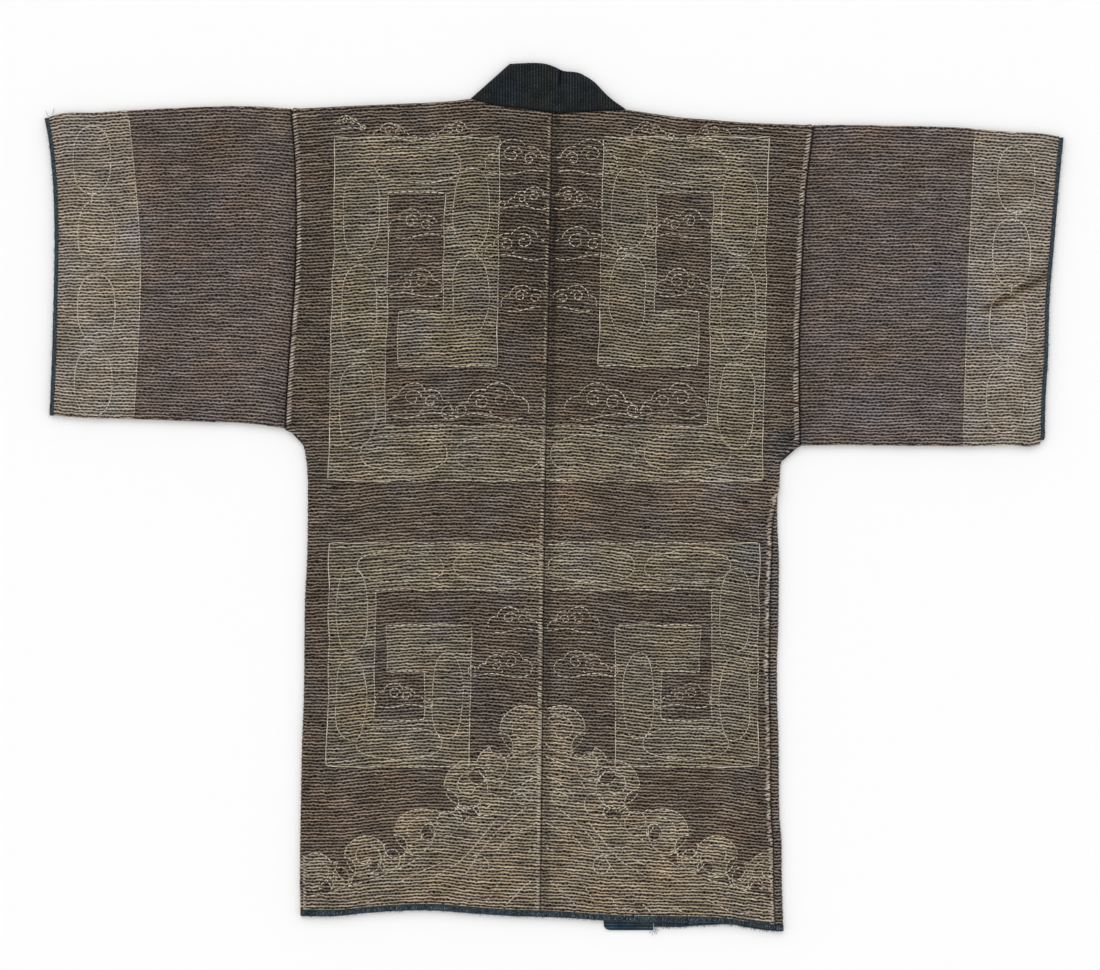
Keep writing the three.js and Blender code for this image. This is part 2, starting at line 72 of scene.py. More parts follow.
# Plan of the coat: [place along, value] rows, joined by smooth curves
centreSeam = [[-520, -17], [-300, -14.2], [-3, -11], [240, -6.2], [475, -2]]
backHem = [
    [-311, -511], [-266, -511], [-227, -507], [-149, -504], [-110, -507], [-51, -511], [-17, -512],
    [27, -514], [56, -516], [105, -518.5], [154, -519], [203, -519.7], [233, -522], [251, -525],
    [271, -527.5],
]
halves = {
    "left": {
        "outward": -1,
        "side": [
            [-511, -309.5], [-467, -310], [-369, -309], [-296, -307.5], [-247, -305.5], [-125, -304],
            [-76, -301.5], [0, -300.5], [21, -300.5], [46, -302.5], [60, -305], [70, -308], [77, -314],
            [81, -321], [84, -328],
        ],
        "armhole": [
            [84, -328], [131, -326], [204, -321], [241, -318], [314, -315], [363, -315], [424, -317],
            [475, -321],
        ],
        "neck": [[-102, 487], [-72, 479], [-26, 474], [5, 470]],
        "shoulder": [[-321, 475], [-261, 478], [-188, 481], [-129, 484], [-102, 487]],
        "yoke": [[-60, 486], [0, 481]],  # the rows near the neck run on as if the shoulder did
        "sleeveTop": [
            [-622, 464], [-598, 469], [-559, 470], [-520, 473], [-442, 476], [-364, 478], [-321, 475],
        ],
        "sleeveLow": [
            [-616, 101], [-608, 100], [-598, 99], [-559, 97], [-520, 96], [-442, 93], [-364, 90], [-344, 87],
            [-328, 84],
        ],
        "cuff": [[100, -616], [143, -614], [241, -611], [326, -610], [387, -612], [436, -617], [464, -622]],
        # how far round the edge the back is followed, from the start of the fold: all the way to its end
        "seamPlace": [[-530, 9.9], [60, 9.9]],
        "cuffBand": [[90, -513], [250, -505], [300, -505], [420, -514], [480, -521]],
        "band": {"low": -505, "outer": -156, "inner": -95, "high": 487, "neckOuter": -102, "neckInner": -51},
        "bandTip": [-54, 530],
        "frontHem": [[-311, -511], [-156, -503]],
    },
    "right": {
        "outward": 1,
        "side": [
            [-530, 280], [-467, 278], [-418, 277.5], [-393, 275.5], [-296, 274], [-247, 272.5], [-198, 272.3],
            [-174, 273.3], [-100, 274.5], [-76, 274.5], [-27, 272.5], [0, 273], [21, 275], [42, 277],
            [50.6, 279.5], [57, 287], [60.5, 294.5], [63, 300.5],
        ],
        "armhole": [
            [63, 300.5], [192, 299.5], [271, 302.5], [326, 304.5], [363, 306.5], [400, 310], [455, 317],
        ],
        "neck": [[-30, 474], [5, 470], [44, 472], [88, 474]],
        "shoulder": [[88, 474], [124, 469], [163, 464], [203, 461], [242, 458], [317, 455]],
        "yoke": [[0, 480], [44, 478]],
        "sleeveTop": [[317, 455], [398, 454], [456, 453], [515, 450], [554, 447], [593, 445], [622, 440]],
        "sleeveLow": [[300, 63.5], [378, 64], [447, 63], [515, 63], [554, 64], [593, 65], [599, 70]],
        "cuff": [[70, 599], [119, 600], [168, 603], [241, 605], [314, 611], [387, 617], [440, 622]],
        # the side seam lies on the back, and goes over the edge towards the armpit
        "seamPlace": [
            [-530, -6.2], [-393, -6.2], [-247, -5.6], [-100, -6.2], [-76, -5.0], [-27, -1.2], [0, 3.4],
            [21, 8], [40, 9.9], [60, 9.9],
        ],
        "cuffBand": [[60, 499], [250, 505], [350, 509], [460, 514]],
        "band": {"low": -529, "outer": 122, "inner": 61, "high": 474, "neckOuter": 88, "neckInner": 37},
        "bandTip": [29, 522],
        "frontHem": [
            [122, -525], [154, -525], [183, -523], [215, -522], [239, -526], [259, -529], [281, -530],
        ],
    },
}
napeEdge = [[-54, 530], [-11, 530], [4, 525], [10, 522], [29, 522]]

# Main folds and hollows of the cloth: two ends, half width, and height, below 0 for a hollow
creases = [
    (500, 204, 614, 264, 5, 2.8), (498, 214, 616, 280, 5, -2.4), (520, 120, 604, 132, 9, 0.7),
    (105, -372, 268, -366, 7, -2.2), (118, -356, 262, -350, 7, 0.8), (178, -3, 276, 38, 5, 0.8),
    (200, 20, 296, 78, 7, 0.9), (-318, 88, -232, 12, 9, 0.9), (-312, 118, -210, 60, 10, -0.8),
    (-430, 120, -350, 300, 14, 0.8), (-470, 110, -400, 270, 15, -0.9), (360, 90, 330, 260, 13, 0.9),
    (404, 96, 376, 250, 14, -0.8), (-590, 300, -520, 330, 8, 0.8), (-250, -505, -238, -300, 16, 0.9),
    (-140, -505, -160, -330, 18, -0.9), (238, -520, 226, -400, 14, 1.0), (60, -515, 70, -380, 18, 0.8),
    (-180, 470, -120, 380, 13, 0.8), (150, 455, 120, 360, 13, 0.8), (-60, 60, -200, 90, 12, -0.8),
]


def curve(table, place):
    # A smooth curve through a table's rows: cubics whose slope at a row is the mean of the slopes beside it
    rows = np.array(sorted(table), float)
    x, y = rows[:, 0], rows[:, 1]
    step = np.diff(x)
    slope = np.diff(y) / step
    tangent = np.concatenate([slope[:1], (slope[1:] + slope[:-1]) / 2, slope[-1:]])
    place = np.asarray(place, float)
    inside = np.clip(place, x[0], x[-1])
    i = np.clip(np.searchsorted(x, inside) - 1, 0, len(step) - 1)
    s = (inside - x[i]) / step[i]
    bend = s * (1 - s) * ((1 - s) * (tangent[i] - slope[i]) - s * (tangent[i + 1] - slope[i])) * step[i]
    ends = np.where(place < x[0], tangent[0], tangent[-1])
    return y[i] + slope[i] * s * step[i] + bend + ends * (place - inside)


def mix(a, b, share):
    # a plus a share of the way to b
    return a + (b - a) * share


def smooth(low, high, value):
    # 0 below low and 1 above high, with a soft start and end
    s = np.clip((value - low) / (high - low), 0, 1)
    return s * s * (3 - 2 * s)


def hump(value, width, power=2):
    # 1 at 0, and fading to both sides over about the given width
    return np.exp(-((value / width) ** power))


def squared(wave, power):
    # A sine or cosine with flatter tops, for a section with rounded corners
    return np.sign(wave) * np.abs(wave) ** power


def ripple(x, y, seed, length, waves=7):
    # Smooth noise of about -1 to 1: a sum of sine waves of random directions and of about the given length
    random = np.random.default_rng(seed)
    draws = [random.uniform(*limits, waves) for limits in ((0, np.pi), (0.6, 1.6), (0, 6.3))]
    total = 0
    for angle, size, phase in zip(*draws):
        total = total + np.sin((x * np.cos(angle) + y * np.sin(angle)) * 2 * np.pi / (length * size) + phase)
    return total / np.sqrt(2 * waves)


def besideLine(x, y, ends):
    # How far a place is along a straight line and off to its right, and the line's length
    ax, ay, bx, by = ends
    length = np.hypot(bx - ax, by - ay)
    along = ((x - ax) * (bx - ax) + (y - ay) * (by - ay)) / length
    return along, ((x - ax) * (by - ay) - (y - ay) * (bx - ax)) / length, length


creaseWander, creaseWave = 2.5, 17  # a crease strays by the first, in waves of the second times 2 pi
creaseEnd = 0.3  # it fades in over this share of its length, and out


def relief(x, y):
    # How the upper cloth lies over the floor: long low swells, and the creases as rounded ridges and troughs
    height = 0.35 * ripple(x, y, 3, 150) + 0.25 * ripple(x, y, 4, 60)
    for *ends, width, rise in creases:
        along, across, length = besideLine(x, y, ends)
        across = across + creaseWander * np.sin(along / creaseWave)
        soft = creaseEnd * length
        soft = smooth(0, soft, along) * smooth(0, soft, length - along)
        height = height + rise * soft * hump(across, width)
    return height


def quilting(u, v):
    # Height over the furrows: a rounded row at each whole v, and a pit at each stitch between the rows
    row = 0.5 + 0.5 * np.cos(2 * np.pi * v)
    stitch = 0.5 + 0.5 * np.cos(2 * np.pi * (u + 0.5 * (np.floor(v) % 2)))
    uneven = 1 + 0.3 * ripple(u * 4, v * 4, 5, 14)
    return cloth["rowHeight"] * row * uneven - cloth["pitDepth"] * stitch * (1 - row)


def rowShift(x, v, seed):
    # How far hand-sewn rows stray up and down the cloth: each furrow has a slow wave of its own
    random = np.random.default_rng(seed)
    most = 400
    lengths = np.stack([random.uniform(*limits, most) for limits in ((50, 140), (14, 34), (0, 6.3))])
    size = np.stack([random.uniform(*limits, most) for limits in ((0.1, 0.4), (0.04, 0.2))])
    first = np.clip(np.floor(v).astype(int), 0, most - 2)
    ends = []
    for furrow in (first, first + 1):
        slow, quick, phase = lengths[:, furrow]
        shift = size[0, furrow] * np.sin(2 * np.pi * x / slow + phase)
        ends.append(shift + size[1, furrow] * np.sin(2 * np.pi * x / quick + 3 * phase))
    return mix(ends[0], ends[1], v - np.floor(v))


# The design: a square fret in lighter bands, with cloud scrolls between and curling waves below. Both halves
# of the back carry it, mirrored at the centre seam: places are [distance from the seam, height up the coat].
design = {
    "frets": [
        {"width": 67, "path": [(0, 54), (231, 54), (231, 406), (96, 406), (96, 194), (150, 194)]},
        {"width": 57, "path": [(0, -84), (234, -84), (234, -300), (117, -300), (117, -184), (162, -184)]},
    ],
    "oval": (105, 44),  # the ovals in the fret: length, and width in a band of the first fret's width
    # the water rises to the middle of the back: its upper edge, and the curling heads along it
    "waterTop": [
        [0, -290], [34, -312], [66, -352], [96, -396], [130, -424], [170, -452], [215, -468], [260, -482],
        [310, -490],
    ],
    "waveHeads": [
        (22, -284, 30), (58, -326, 22), (88, -352, 31), (66, -372, 18), (118, -396, 20), (150, -408, 29),
        (184, -440, 18), (214, -438, 25), (246, -462, 17), (276, -456, 23), (304, -478, 14),
    ],
    "echoes": [24, 47, 74, 103, 135, 170],  # flowing lines, this far under the water's edge
    # cloud scrolls: middle, foot, size, and the side of its curl
    "clouds": [
        (40, 400, 27, 1), (26, 356, 17, -1), (40, 296, 25, -1), (28, 232, 20, 1), (66, 102, 28, -1),
        (163, 322, 22, 1), (163, 250, 21, -1), (156, 104, 26, 1), (176, -252, 19, 1), (36, -160, 20, 1),
        (46, -214, 21, -1), (118, 440, 14, -1), (196, 438, 14, 1), (250, 452, 10, 1),
    ],
    # the lobes of a cloud of size 1
    "lobes": [(-1.15, 0.16, 0.4), (-0.55, 0.5, 0.56), (0.3, 0.66, 0.7), (1.05, 0.28, 0.48)],
    "outlineWander": 1.3,  # hand-sewn lines stray by this
}


def bars(fret):
    # The straight runs of a fret as boxes: [low distance, low height, high distance, high height]
    path = np.array(fret["path"], float)
    low = np.minimum(path[1:], path[:-1]) - fret["width"] / 2
    high = np.maximum(path[1:], path[:-1]) + fret["width"] / 2
    return np.hstack([low, high])


def depthIn(shapes, x, y):
    # How far a place is inside the union of boxes and discs, in millimetres, and below 0 outside it
    depth = np.full(np.shape(x), -1e3)
    for shape in shapes:
        if len(shape) == 4:
            left, low, right, high = shape
            inside = np.minimum(np.minimum(x - left, right - x), np.minimum(y - low, high - y))
        else:
            inside = shape[2] - np.hypot(x - shape[0], y - shape[1])
        depth = np.maximum(depth, inside)
    return depth


bands = [box for fret in design["frets"] for box in bars(fret)]
heads = design["waveHeads"]
hollows = [(x + 0.95 * r, y - 0.62 * r, 0.5 * r) for x, y, r in heads]  # the open place under each curl


def depthInWater(x, y):
    # Under the water's edge or inside a curling head, and not in the hollow under a curl
    water = np.maximum(curve(design["waterTop"], x) - y, depthIn(heads, x, y))
    return np.minimum(water, -depthIn(hollows, x, y))


def strayed(x, y):
    # A place moved by the wandering of hand-sewn lines
    wander = design["outlineWander"]
    return x + wander * ripple(x, y, 11, 45), y + wander * ripple(x, y, 12, 45)


# Where the dye has worn or stained, in broad soft patches, and two patches of painted light and shade:
# centre, half sizes, how much lighter and warmer
wearAndShadePatches = [
    (-440, 420, 110, 60, -0.08, 0.4), (-440, 250, 70, 60, 0.03, -0.1), (-380, 160, 60, 40, 0.12, 0.1),
    (430, 260, 70, 60, 0.05, -0.3), (420, 110, 90, 40, 0.12, -0.9), (345, 330, 30, 90, -0.08, 0.0),
    (0, -30, 260, 36, 0.10, 0.0), (210, 10, 60, 34, 0.22, -0.1), (-190, -40, 90, 40, 0.06, 0.1),
    (-230, -380, 70, 60, 0.10, 0.5), (180, -390, 90, 60, 0.10, 0.4), (-20, -470, 200, 46, 0.05, 0.5),
    # the patch at 283, 60 is painted shade at the right armpit, darker and bluer
    (-120, 440, 80, 36, 0.04, 0.2), (120, 440, 70, 36, 0.04, 0.3), (283, 60, 22, 26, -0.3, -1.4),
    (-560, 300, 40, 90, 0.05, 0.4), (560, 200, 40, 90, 0.06, 0.2), (-280, -120, 34, 110, -0.06, 0.0),
    (250, -160, 34, 110, -0.05, 0.0), (0, 320, 100, 130, -0.3, 0.2), (-140, -230, 60, 50, -0.08, -0.4),
    (140, -240, 60, 50, -0.08, -0.3), (290, 250, 26, 120, -0.1, 0.2), (-290, 250, 26, 120, -0.1, 0.2),
    # the patch at 270, -190 is painted light on the strip turned over the right side, against the shade of
    # its fold
    (485, 236, 34, 40, 0.02, -1.3), (270, -190, 6, 320, 0.42, 0.0), (25, 150, 50, 120, -0.08, 0.3),
    (17, 2, 20, 42, 0.5, 0.7), (-24, -50, 14, 60, 0.16, 0.3), (164, 2, 62, 26, 0.32, 0.2),
    (244, -90, 36, 90, -0.08, -0.8), (540, 205, 40, 22, 0.1, -0.6), (470, 340, 60, 40, 0.0, -0.6),
    (-20, 330, 60, 80, -0.1, 0.2), (-380, 60, 50, 40, 0.0, -0.8),
]
# An olive stain along the cuff's crease, darker partly as painted shade in the crease: ends, width, how much
# lighter and warmer
creaseStainAndShade = {"ends": (518, 225, 607, 274), "width": 4.6, "lighter": -0.62, "warmer": 1.7}
# Painted shade beside the seams: how much darker, where, and how wide
seamShade = {
    "centre": 0.44, "beside": 5.6, "centreWidth": 4.8,  # to the right of the centre seam
    "armhole": 0.24, "armholeWidth": 11,  # on both sides of the armholes
}


def wear(x, y):
    # How much lighter and how much warmer the colour is at a place: worn and stained dye, with painted light
    # and shade mixed in
    light = 0.07 * ripple(x, y, 21, 120) + 0.05 * ripple(x, y, 22, 35)
    warm = 0.55 * ripple(x, y, 23, 90)
    for px, py, rx, ry, lighter, warmer in wearAndShadePatches:
        weight = np.exp(-(((x - px) / rx) ** 2) - ((y - py) / ry) ** 2)
        light = light + lighter * weight
        warm = warm + warmer * weight
    # a stained crease, as a strip with soft sides and ends that widens towards the cuff; its darkening is
    # partly painted shade
    along, across, length = besideLine(x, y, creaseStainAndShade["ends"])
    wide = creaseStainAndShade["width"] * (0.75 + 0.5 * np.clip(along / length, 0, 1))
    weight = smooth(-12, 16, along) * smooth(-14, 6, length - along) * hump(across, wide)
    light = light + creaseStainAndShade["lighter"] * weight
    warm = warm + creaseStainAndShade["warmer"] * weight
    # painted shade: a narrow dark strip beside the seams
    beside = x - curve(centreSeam, y)
    light = light - seamShade["centre"] * hump(beside - seamShade["beside"], seamShade["centreWidth"])
    for half in halves.values():
        shade = hump(x - curve(half["armhole"], y), seamShade["armholeWidth"])
        light = light - seamShade["armhole"] * shade * smooth(70, 95, y)
    return light, warm


def outerEdge(half, y):
    # The outline of a half on its outer side: its folded side, and above the armpit its armhole
    return np.where(y < half["armhole"][0][0], curve(half["side"], y), curve(half["armhole"], y))


def stitchLines(a, b, shareA, shareB):
    # The triangles between two lines of points that run the same way. The shares say how far along each lies.
    ahead = np.concatenate([shareA[1:], shareB[1:]])
    fromA = np.arange(len(ahead)) < len(a) - 1
    stepA = fromA[np.argsort(ahead, kind="stable")]
    i = np.cumsum(stepA) - stepA
    j = np.cumsum(~stepA) - ~stepA
    third = np.where(stepA, a[np.minimum(i + 1, len(a) - 1)], b[np.minimum(j + 1, len(b) - 1)])
    return np.stack([a[i], b[j], third], axis=1)


def gridFaces(grid, flip=False):
    # Two triangles for each square of a grid of point numbers
    a, b, c, d = grid[:-1, :-1], grid[:-1, 1:], grid[1:, 1:], grid[1:, :-1]
    faces = np.concatenate([np.stack(three, -1).reshape(-1, 3) for three in ((a, b, c), (a, c, d))])
    return faces[:, ::-1] if flip else faces


def numbered(grid, first=0):
    # The numbers of a grid's points, row by row
    return first + np.arange(grid.shape[0] * grid.shape[1]).reshape(grid.shape[:2])


def closedSheet(top, under):
    # A sheet of cloth from a fine grid over a coarse one: two skins, and their four edges joined.
    # Both grids run from left to right in each row, and from low to high.
    upper = numbered(top)
    lower = numbered(under, upper.size)
    faces = [gridFaces(upper), gridFaces(lower, True)]
    sides = [(upper[0], lower[0], 1), (upper[-1], lower[-1], -1)]
    sides += [(upper[:, 0], lower[:, 0], -1), (upper[:, -1], lower[:, -1], 1)]
    for a, b, turn in sides:
        faces.append(stitchLines(a, b, np.linspace(0, 1, len(a)), np.linspace(0, 1, len(b)))[:, ::turn])
    return np.concatenate([top.reshape(-1, 3), under.reshape(-1, 3)]), np.concatenate(faces)


def closedTube(outer, inner, shareOuter, shareInner):
    # A tube of cloth from two grids whose rows go round it and close: two skins, and a ring at each end.
    # The shares say how far round the tube each row lies, so that the rings join rows beside each other.
    upper = numbered(outer)
    lower = numbered(inner, upper.size)
    upper, lower = np.vstack([upper, upper[:1]]), np.vstack([lower, lower[:1]])
    faces = [gridFaces(upper), gridFaces(lower, True)]
    for end, turn in ((0, -1), (-1, 1)):
        shares = np.append(shareOuter, 1.1), np.append(shareInner, 1.1)
        faces.append(stitchLines(upper[:, end], lower[:, end], *shares)[:, ::turn])
    return np.concatenate([outer.reshape(-1, 3), inner.reshape(-1, 3)]), np.concatenate(faces)


def makePiece(name, points, faces, material, node=None, uv=None, marks=None):
    # A mesh object from arrays. Its faces are turned outwards if its volume is below 0.
    corners = points[faces]
    if np.einsum("ij,ij->i", corners[:, 0], np.cross(corners[:, 1], corners[:, 2])).sum() < 0:
        faces = faces[:, ::-1]
    mesh = bpy.data.meshes.new(name)
    mesh.vertices.add(len(points))
    mesh.vertices.foreach_set("co", (points / 1000).astype(np.float32).ravel())
    mesh.loops.add(faces.size)
    mesh.loops.foreach_set("vertex_index", faces.astype(np.int32).ravel())
    mesh.polygons.add(len(faces))
    mesh.polygons.foreach_set("loop_start", np.arange(0, faces.size, 3, dtype=np.int32))
    mesh.polygons.foreach_set("use_smooth", np.ones(len(faces), bool))
    if uv is not None:
        layer = mesh.uv_layers.new(name="rows")
        layer.data.foreach_set("uv", uv[faces.ravel()].astype(np.float32).ravel())
    for label, values in (marks or {}).items():
        attribute = mesh.attributes.new(label, "FLOAT_VECTOR", "POINT")
        attribute.data.foreach_set("vector", values.astype(np.float32).ravel())
    mesh.update(calc_edges=True)
    mesh.validate()
    mesh.materials.append(material)
    piece = bpy.data.objects.new(name, mesh)
    bpy.context.collection.objects.link(piece)
    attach(piece, "root")
    if node:
        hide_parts(node)
    print(name, len(faces), "triangles")
    return piece


def paint(code):
    # An sRGB hex colour as Blender's linear one
    values = [int(code[i : i + 2], 16) / 255 for i in (1, 3, 5)]
    return tuple(v / 12.92 if v <= 0.04045 else ((v + 0.055) / 1.055) ** 2.4 for v in values) + (1.0,)


# The setting that a second word after a node's kind gives
choices = {
    "Math": "operation", "MapRange": "interpolation_type", "MixRGB": "blend_type",
    "TexNoise": "noise_dimensions", "TexWhiteNoise": "noise_dimensions",
    "UVMap": "uv_map", "Attribute": "attribute_name",
}


def newMaterial(name):
    # An empty material, and the function that adds nodes to it
    material = bpy.data.materials.new(name)
    material.use_nodes = True
    tree = material.node_tree
    tree.nodes.clear()

    def add(kind, *values, **named):
        # Adds a node. A value for one of its inputs is a number, a colour, another node or its socket.
        kind, _, choice = kind.partition(" ")
        added = tree.nodes.new("ShaderNode" + kind)
        if choice:
            setattr(added, choices[kind], choice)
        inputs = list(enumerate(values)) + [(key.replace("_", " "), value) for key, value in named.items()]
        for key, value in inputs:
            if isinstance(value, bpy.types.Node):
                value = value.outputs[0]
            if isinstance(value, bpy.types.NodeSocket):
                tree.links.new(value, added.inputs[key])
            else:
                added.inputs[key].default_value = value
        return added

    return material, add


def matteEnd(add, colour, height, strength, distance, **finish):
    # The end of each material: its height as bump, its colour and finish in the shader, and the output
    bump = add("Bump", Height=height, Strength=strength, Distance=distance)
    add("OutputMaterial", add("BsdfPrincipled", Base_Color=colour, Normal=bump, **finish))


# Quilted cotton in several layers, dyed, hand sewn and worn: matte, lighter along its rows partly as painted
# light, darker in its furrows partly as painted shade, and near black as painted shade where the stitches
# pull it down. Rows follow the piece's own map, whose unit is one stitch by one row.
bodyLook = {
    "ground": "#7b6d60", "band": "#9a8e7b", "wave": "#a39581", "cuff": "#aea192",
    # pit: the near black of the painted shade in the pits, and of the seams
    "pit": "#080503", "worn": "#b9ad9d",
    "furrow": 0.2,  # a furrow's colour, as a share of its row's: partly dye, partly painted shade
    "pits": 1.0,  # how dark the painted shade in the pits at the stitches between the rows is
    "streaks": 0.36,  # how much the rows differ
    "cool": (0.82, 0.96, 1.2, 1), "warm": (1.10, 0.99, 0.84, 1),
}
sleeveLook = dict(bodyLook, ground="#80726a", cuff="#a99d8f", furrow=0.27, pits=0.85, streaks=0.24)


def quiltedCotton(name, look):
    # Rows are a cosine of the map's v and stitches one of its u. The depths in "design" mix the dyes.
    material, add = newMaterial(name)
    rows = add("UVMap rows")
    u, v = add("SeparateXYZ", rows).outputs[:2]
    inside = add("SeparateXYZ", add("Attribute design").outputs["Vector"]).outputs
    # wear with painted light and shade in its lightness, its warmth, and the seams' dark grooves
    lighter, warmer, seam = add("SeparateXYZ", add("Attribute wear").outputs["Vector"]).outputs
    # rows that stray a little, thick and thin
    stray = add("TexNoise 2D", Vector=rows, Scale=0.6, Detail=3.0)
    place = add("Math MULTIPLY_ADD", stray, 0.9, add("Math SUBTRACT", v, 0.45))
    crest = add("MapRange", add("Math COSINE", add("Math MULTIPLY", place, 2 * np.pi)), -1.0)
    # stitches between the rows, staggered like bricks, with their spacing uneven
    furrow = add("Math FLOOR", place)
    stagger = add("Math MULTIPLY", add("Math FLOORED_MODULO", furrow, 2.0), 0.5)
    shift = add("Math MULTIPLY_ADD", add("TexWhiteNoise 1D", W=furrow), 0.3, stagger)
    drift = add("TexNoise 2D", Vector=rows, Scale=0.4, Detail=2.0)
    shift = add("Math MULTIPLY_ADD", drift, 1.6, shift)
    phase = add("Math MULTIPLY", add("Math ADD", u, shift), 2 * np.pi)
    uneven = add("TexNoise 2D", Vector=rows, Scale=0.9, Detail=1.0)
    dot = add("Math MULTIPLY_ADD", uneven, 1.4, add("Math COSINE", phase))
    dot = add("MapRange SMOOTHSTEP", dot, 0.5, 1.3)
    pit = add("Math MULTIPLY", dot, add("MapRange SMOOTHSTEP", crest, 0.9, 0.4))
    # the dyes
    dye = paint(look["ground"])
    for channel, part, soft in ((0, "band", 0.8), (1, "wave", 1.2), (2, "cuff", 1.0)):
        mask = add("MapRange SMOOTHSTEP", inside[channel], -soft, soft)
        dye = add("MixRGB", mask, dye, paint(look[part]))
    tint = add("ValToRGB", add("MapRange", warmer, -1.5, 1.5))
    tint.color_ramp.elements[0].color = look["cool"]
    tint.color_ramp.elements[1].color = look["warm"]
    tint.color_ramp.elements.new(0.5).color = (1, 1, 1, 1)
    dye = add("MixRGB MULTIPLY", 1.0, dye, tint)
    # rows differ in depth of colour, in long streaks, and the cloth is patchy at a finger's width
    streak = add("TexNoise 2D", Vector=add("Mapping", rows, Scale=(0.13, 0.9, 1.0)), Scale=1.0, Detail=2.0)
    patch = add("TexNoise 2D", Vector=rows, Scale=0.16, Detail=3.0)
    fleck = add("TexNoise 2D", Vector=rows, Scale=1.7, Detail=3.0, Roughness=0.7)
    level = add("MapRange", streak, 0.3, 0.7, 1 - look["streaks"], 1 + look["streaks"])
    level = add("Math MULTIPLY", level, add("MapRange", patch, 0.3, 0.7, 0.85, 1.15))
    level = add("Math MULTIPLY", level, add("MapRange", fleck, 0.3, 0.7, 0.78, 1.22))
    # the wear attribute's lightness, which carries painted shade and painted light as well as wear
    level = add("Math MULTIPLY", level, add("Math ADD", lighter, 1.0))
    # darker in the furrows and lighter on the crests: partly dye, partly painted shade and painted light
    depth = add("MapRange SMOOTHSTEP", crest, 0.36, 0.96, look["furrow"], 1.12)
    for grey in (level, depth):
        dye = add("MixRGB MULTIPLY", 1.0, dye, add("CombineXYZ", grey, grey, grey))
    # rubbed pale along the crests, near black as painted shade in the pits, and near black in the seams
    rub = add("MapRange SMOOTHSTEP", crest, 0.5, 1.0, 0.0, 0.5)
    rub = add("Math MULTIPLY", rub, add("MapRange SMOOTHSTEP", fleck, 0.5, 0.75))
    colour = add("MixRGB", rub, dye, paint(look["worn"]))
    dark = add("MapRange SMOOTHSTEP", seam, 0.0, 1.0, 0.0, 0.85)
    for share in (add("Math MULTIPLY", pit, look["pits"]), dark):
        colour = add("MixRGB", share, colour, paint(look["pit"]))
    # threads of the weave, 0.6 mm apart, drawn as a fine grain
    weave = add("TexNoise 2D", Scale=8.0, Detail=2.0, Vector=rows)
    height = add("Math MULTIPLY_ADD", weave, 0.35, add("Math MULTIPLY_ADD", pit, -0.5, crest))
    matteEnd(add, colour, height, 0.6, 0.0007, Roughness=0.92, Sheen_Weight=0.04, Sheen_Roughness=0.6,
             Specular_IOR_Level=0.12)
    return material


# Indigo cotton with fine cords, nearly black: cool dark threads with pale dots where the sewing shows
indigoLook = {
    # crease: the near black of the painted shade in the collar's crease
    "dark": "#0e1011", "light": "#2b3235", "thread": "#5f666a", "crease": "#030303",
    "navy": (1.0, 1.1, 1.3, 1), "brown": (1.2, 1.12, 0.92, 1),  # tints of its faded parts
}
bandLook = dict(indigoLook, dark="#11202a", light="#40545f", thread="#566a74")


def ribbedCotton(name, look):
    # Ribs are a cosine of the map's u, from dark to light, with dots along them by a cosine of v
    material, add = newMaterial(name)
    rows = add("UVMap rows")
    u, v = add("SeparateXYZ", rows).outputs[:2]
    rib = add("MapRange", add("Math COSINE", add("Math MULTIPLY", u, 2 * np.pi)), -1.0)
    patch = add("TexNoise 2D", Vector=rows, Scale=0.25, Detail=3.0)
    grain = add("TexNoise 2D", Vector=rows, Scale=2.2, Detail=3.0)
    tone = add("Math MULTIPLY", rib, add("MapRange", patch, 0.3, 0.7, 0.2, 1.0))
    tone = add("Math MULTIPLY", tone, add("MapRange", grain, 0.3, 0.7, 0.3, 1.2))
    colour = add("MixRGB", tone, paint(look["dark"]), paint(look["light"]))
    # each rib's dots are shifted along it by an amount of its own
    own = add("TexWhiteNoise 1D", W=add("Math ROUND", u))
    shift = add("Math MULTIPLY_ADD", patch, 2.5, own)
    along = add("Math MULTIPLY", add("Math ADD", v, shift), 2 * np.pi)
    dash = add("MapRange SMOOTHSTEP", add("Math COSINE", along), 0.5, 1.0)
    dash = add("Math MULTIPLY", dash, add("MapRange SMOOTHSTEP", rib, 0.75, 1.0, 0.0, 0.55))
    dash = add("Math MULTIPLY", dash, add("MapRange", grain, 0.35, 0.7))
    colour = add("MixRGB", dash, colour, paint(look["thread"]))
    # it has faded unevenly, in parts to navy and in parts to a brown black, and painted shade darkens its
    # crease
    faded = add("ValToRGB", add("TexNoise 2D", Vector=rows, Scale=0.09, Detail=1.0))
    for element, place, tint in zip(faded.color_ramp.elements, (0.35, 0.65), (look["navy"], look["brown"])):
        element.position = place
        element.color = tint
    colour = add("MixRGB MULTIPLY", 1.0, colour, faded)
    # painted shade from the crease attribute
    folded = add("SeparateXYZ", add("Attribute crease").outputs["Vector"])
    colour = add("MixRGB", folded, colour, paint(look["crease"]))
    height = add("Math MULTIPLY_ADD", grain, 0.4, rib)
    matteEnd(add, colour, height, 0.5, 0.0005, Roughness=0.9, Sheen_Weight=0.05, Specular_IOR_Level=0.15)
    return material


# Plain indigo cotton tape, folded over the cut edges: dark blue, with a slack weave that shows as pale specks
tapeLook = {"dark": "#080d11", "light": "#3a4851", "thread": "#82939b"}


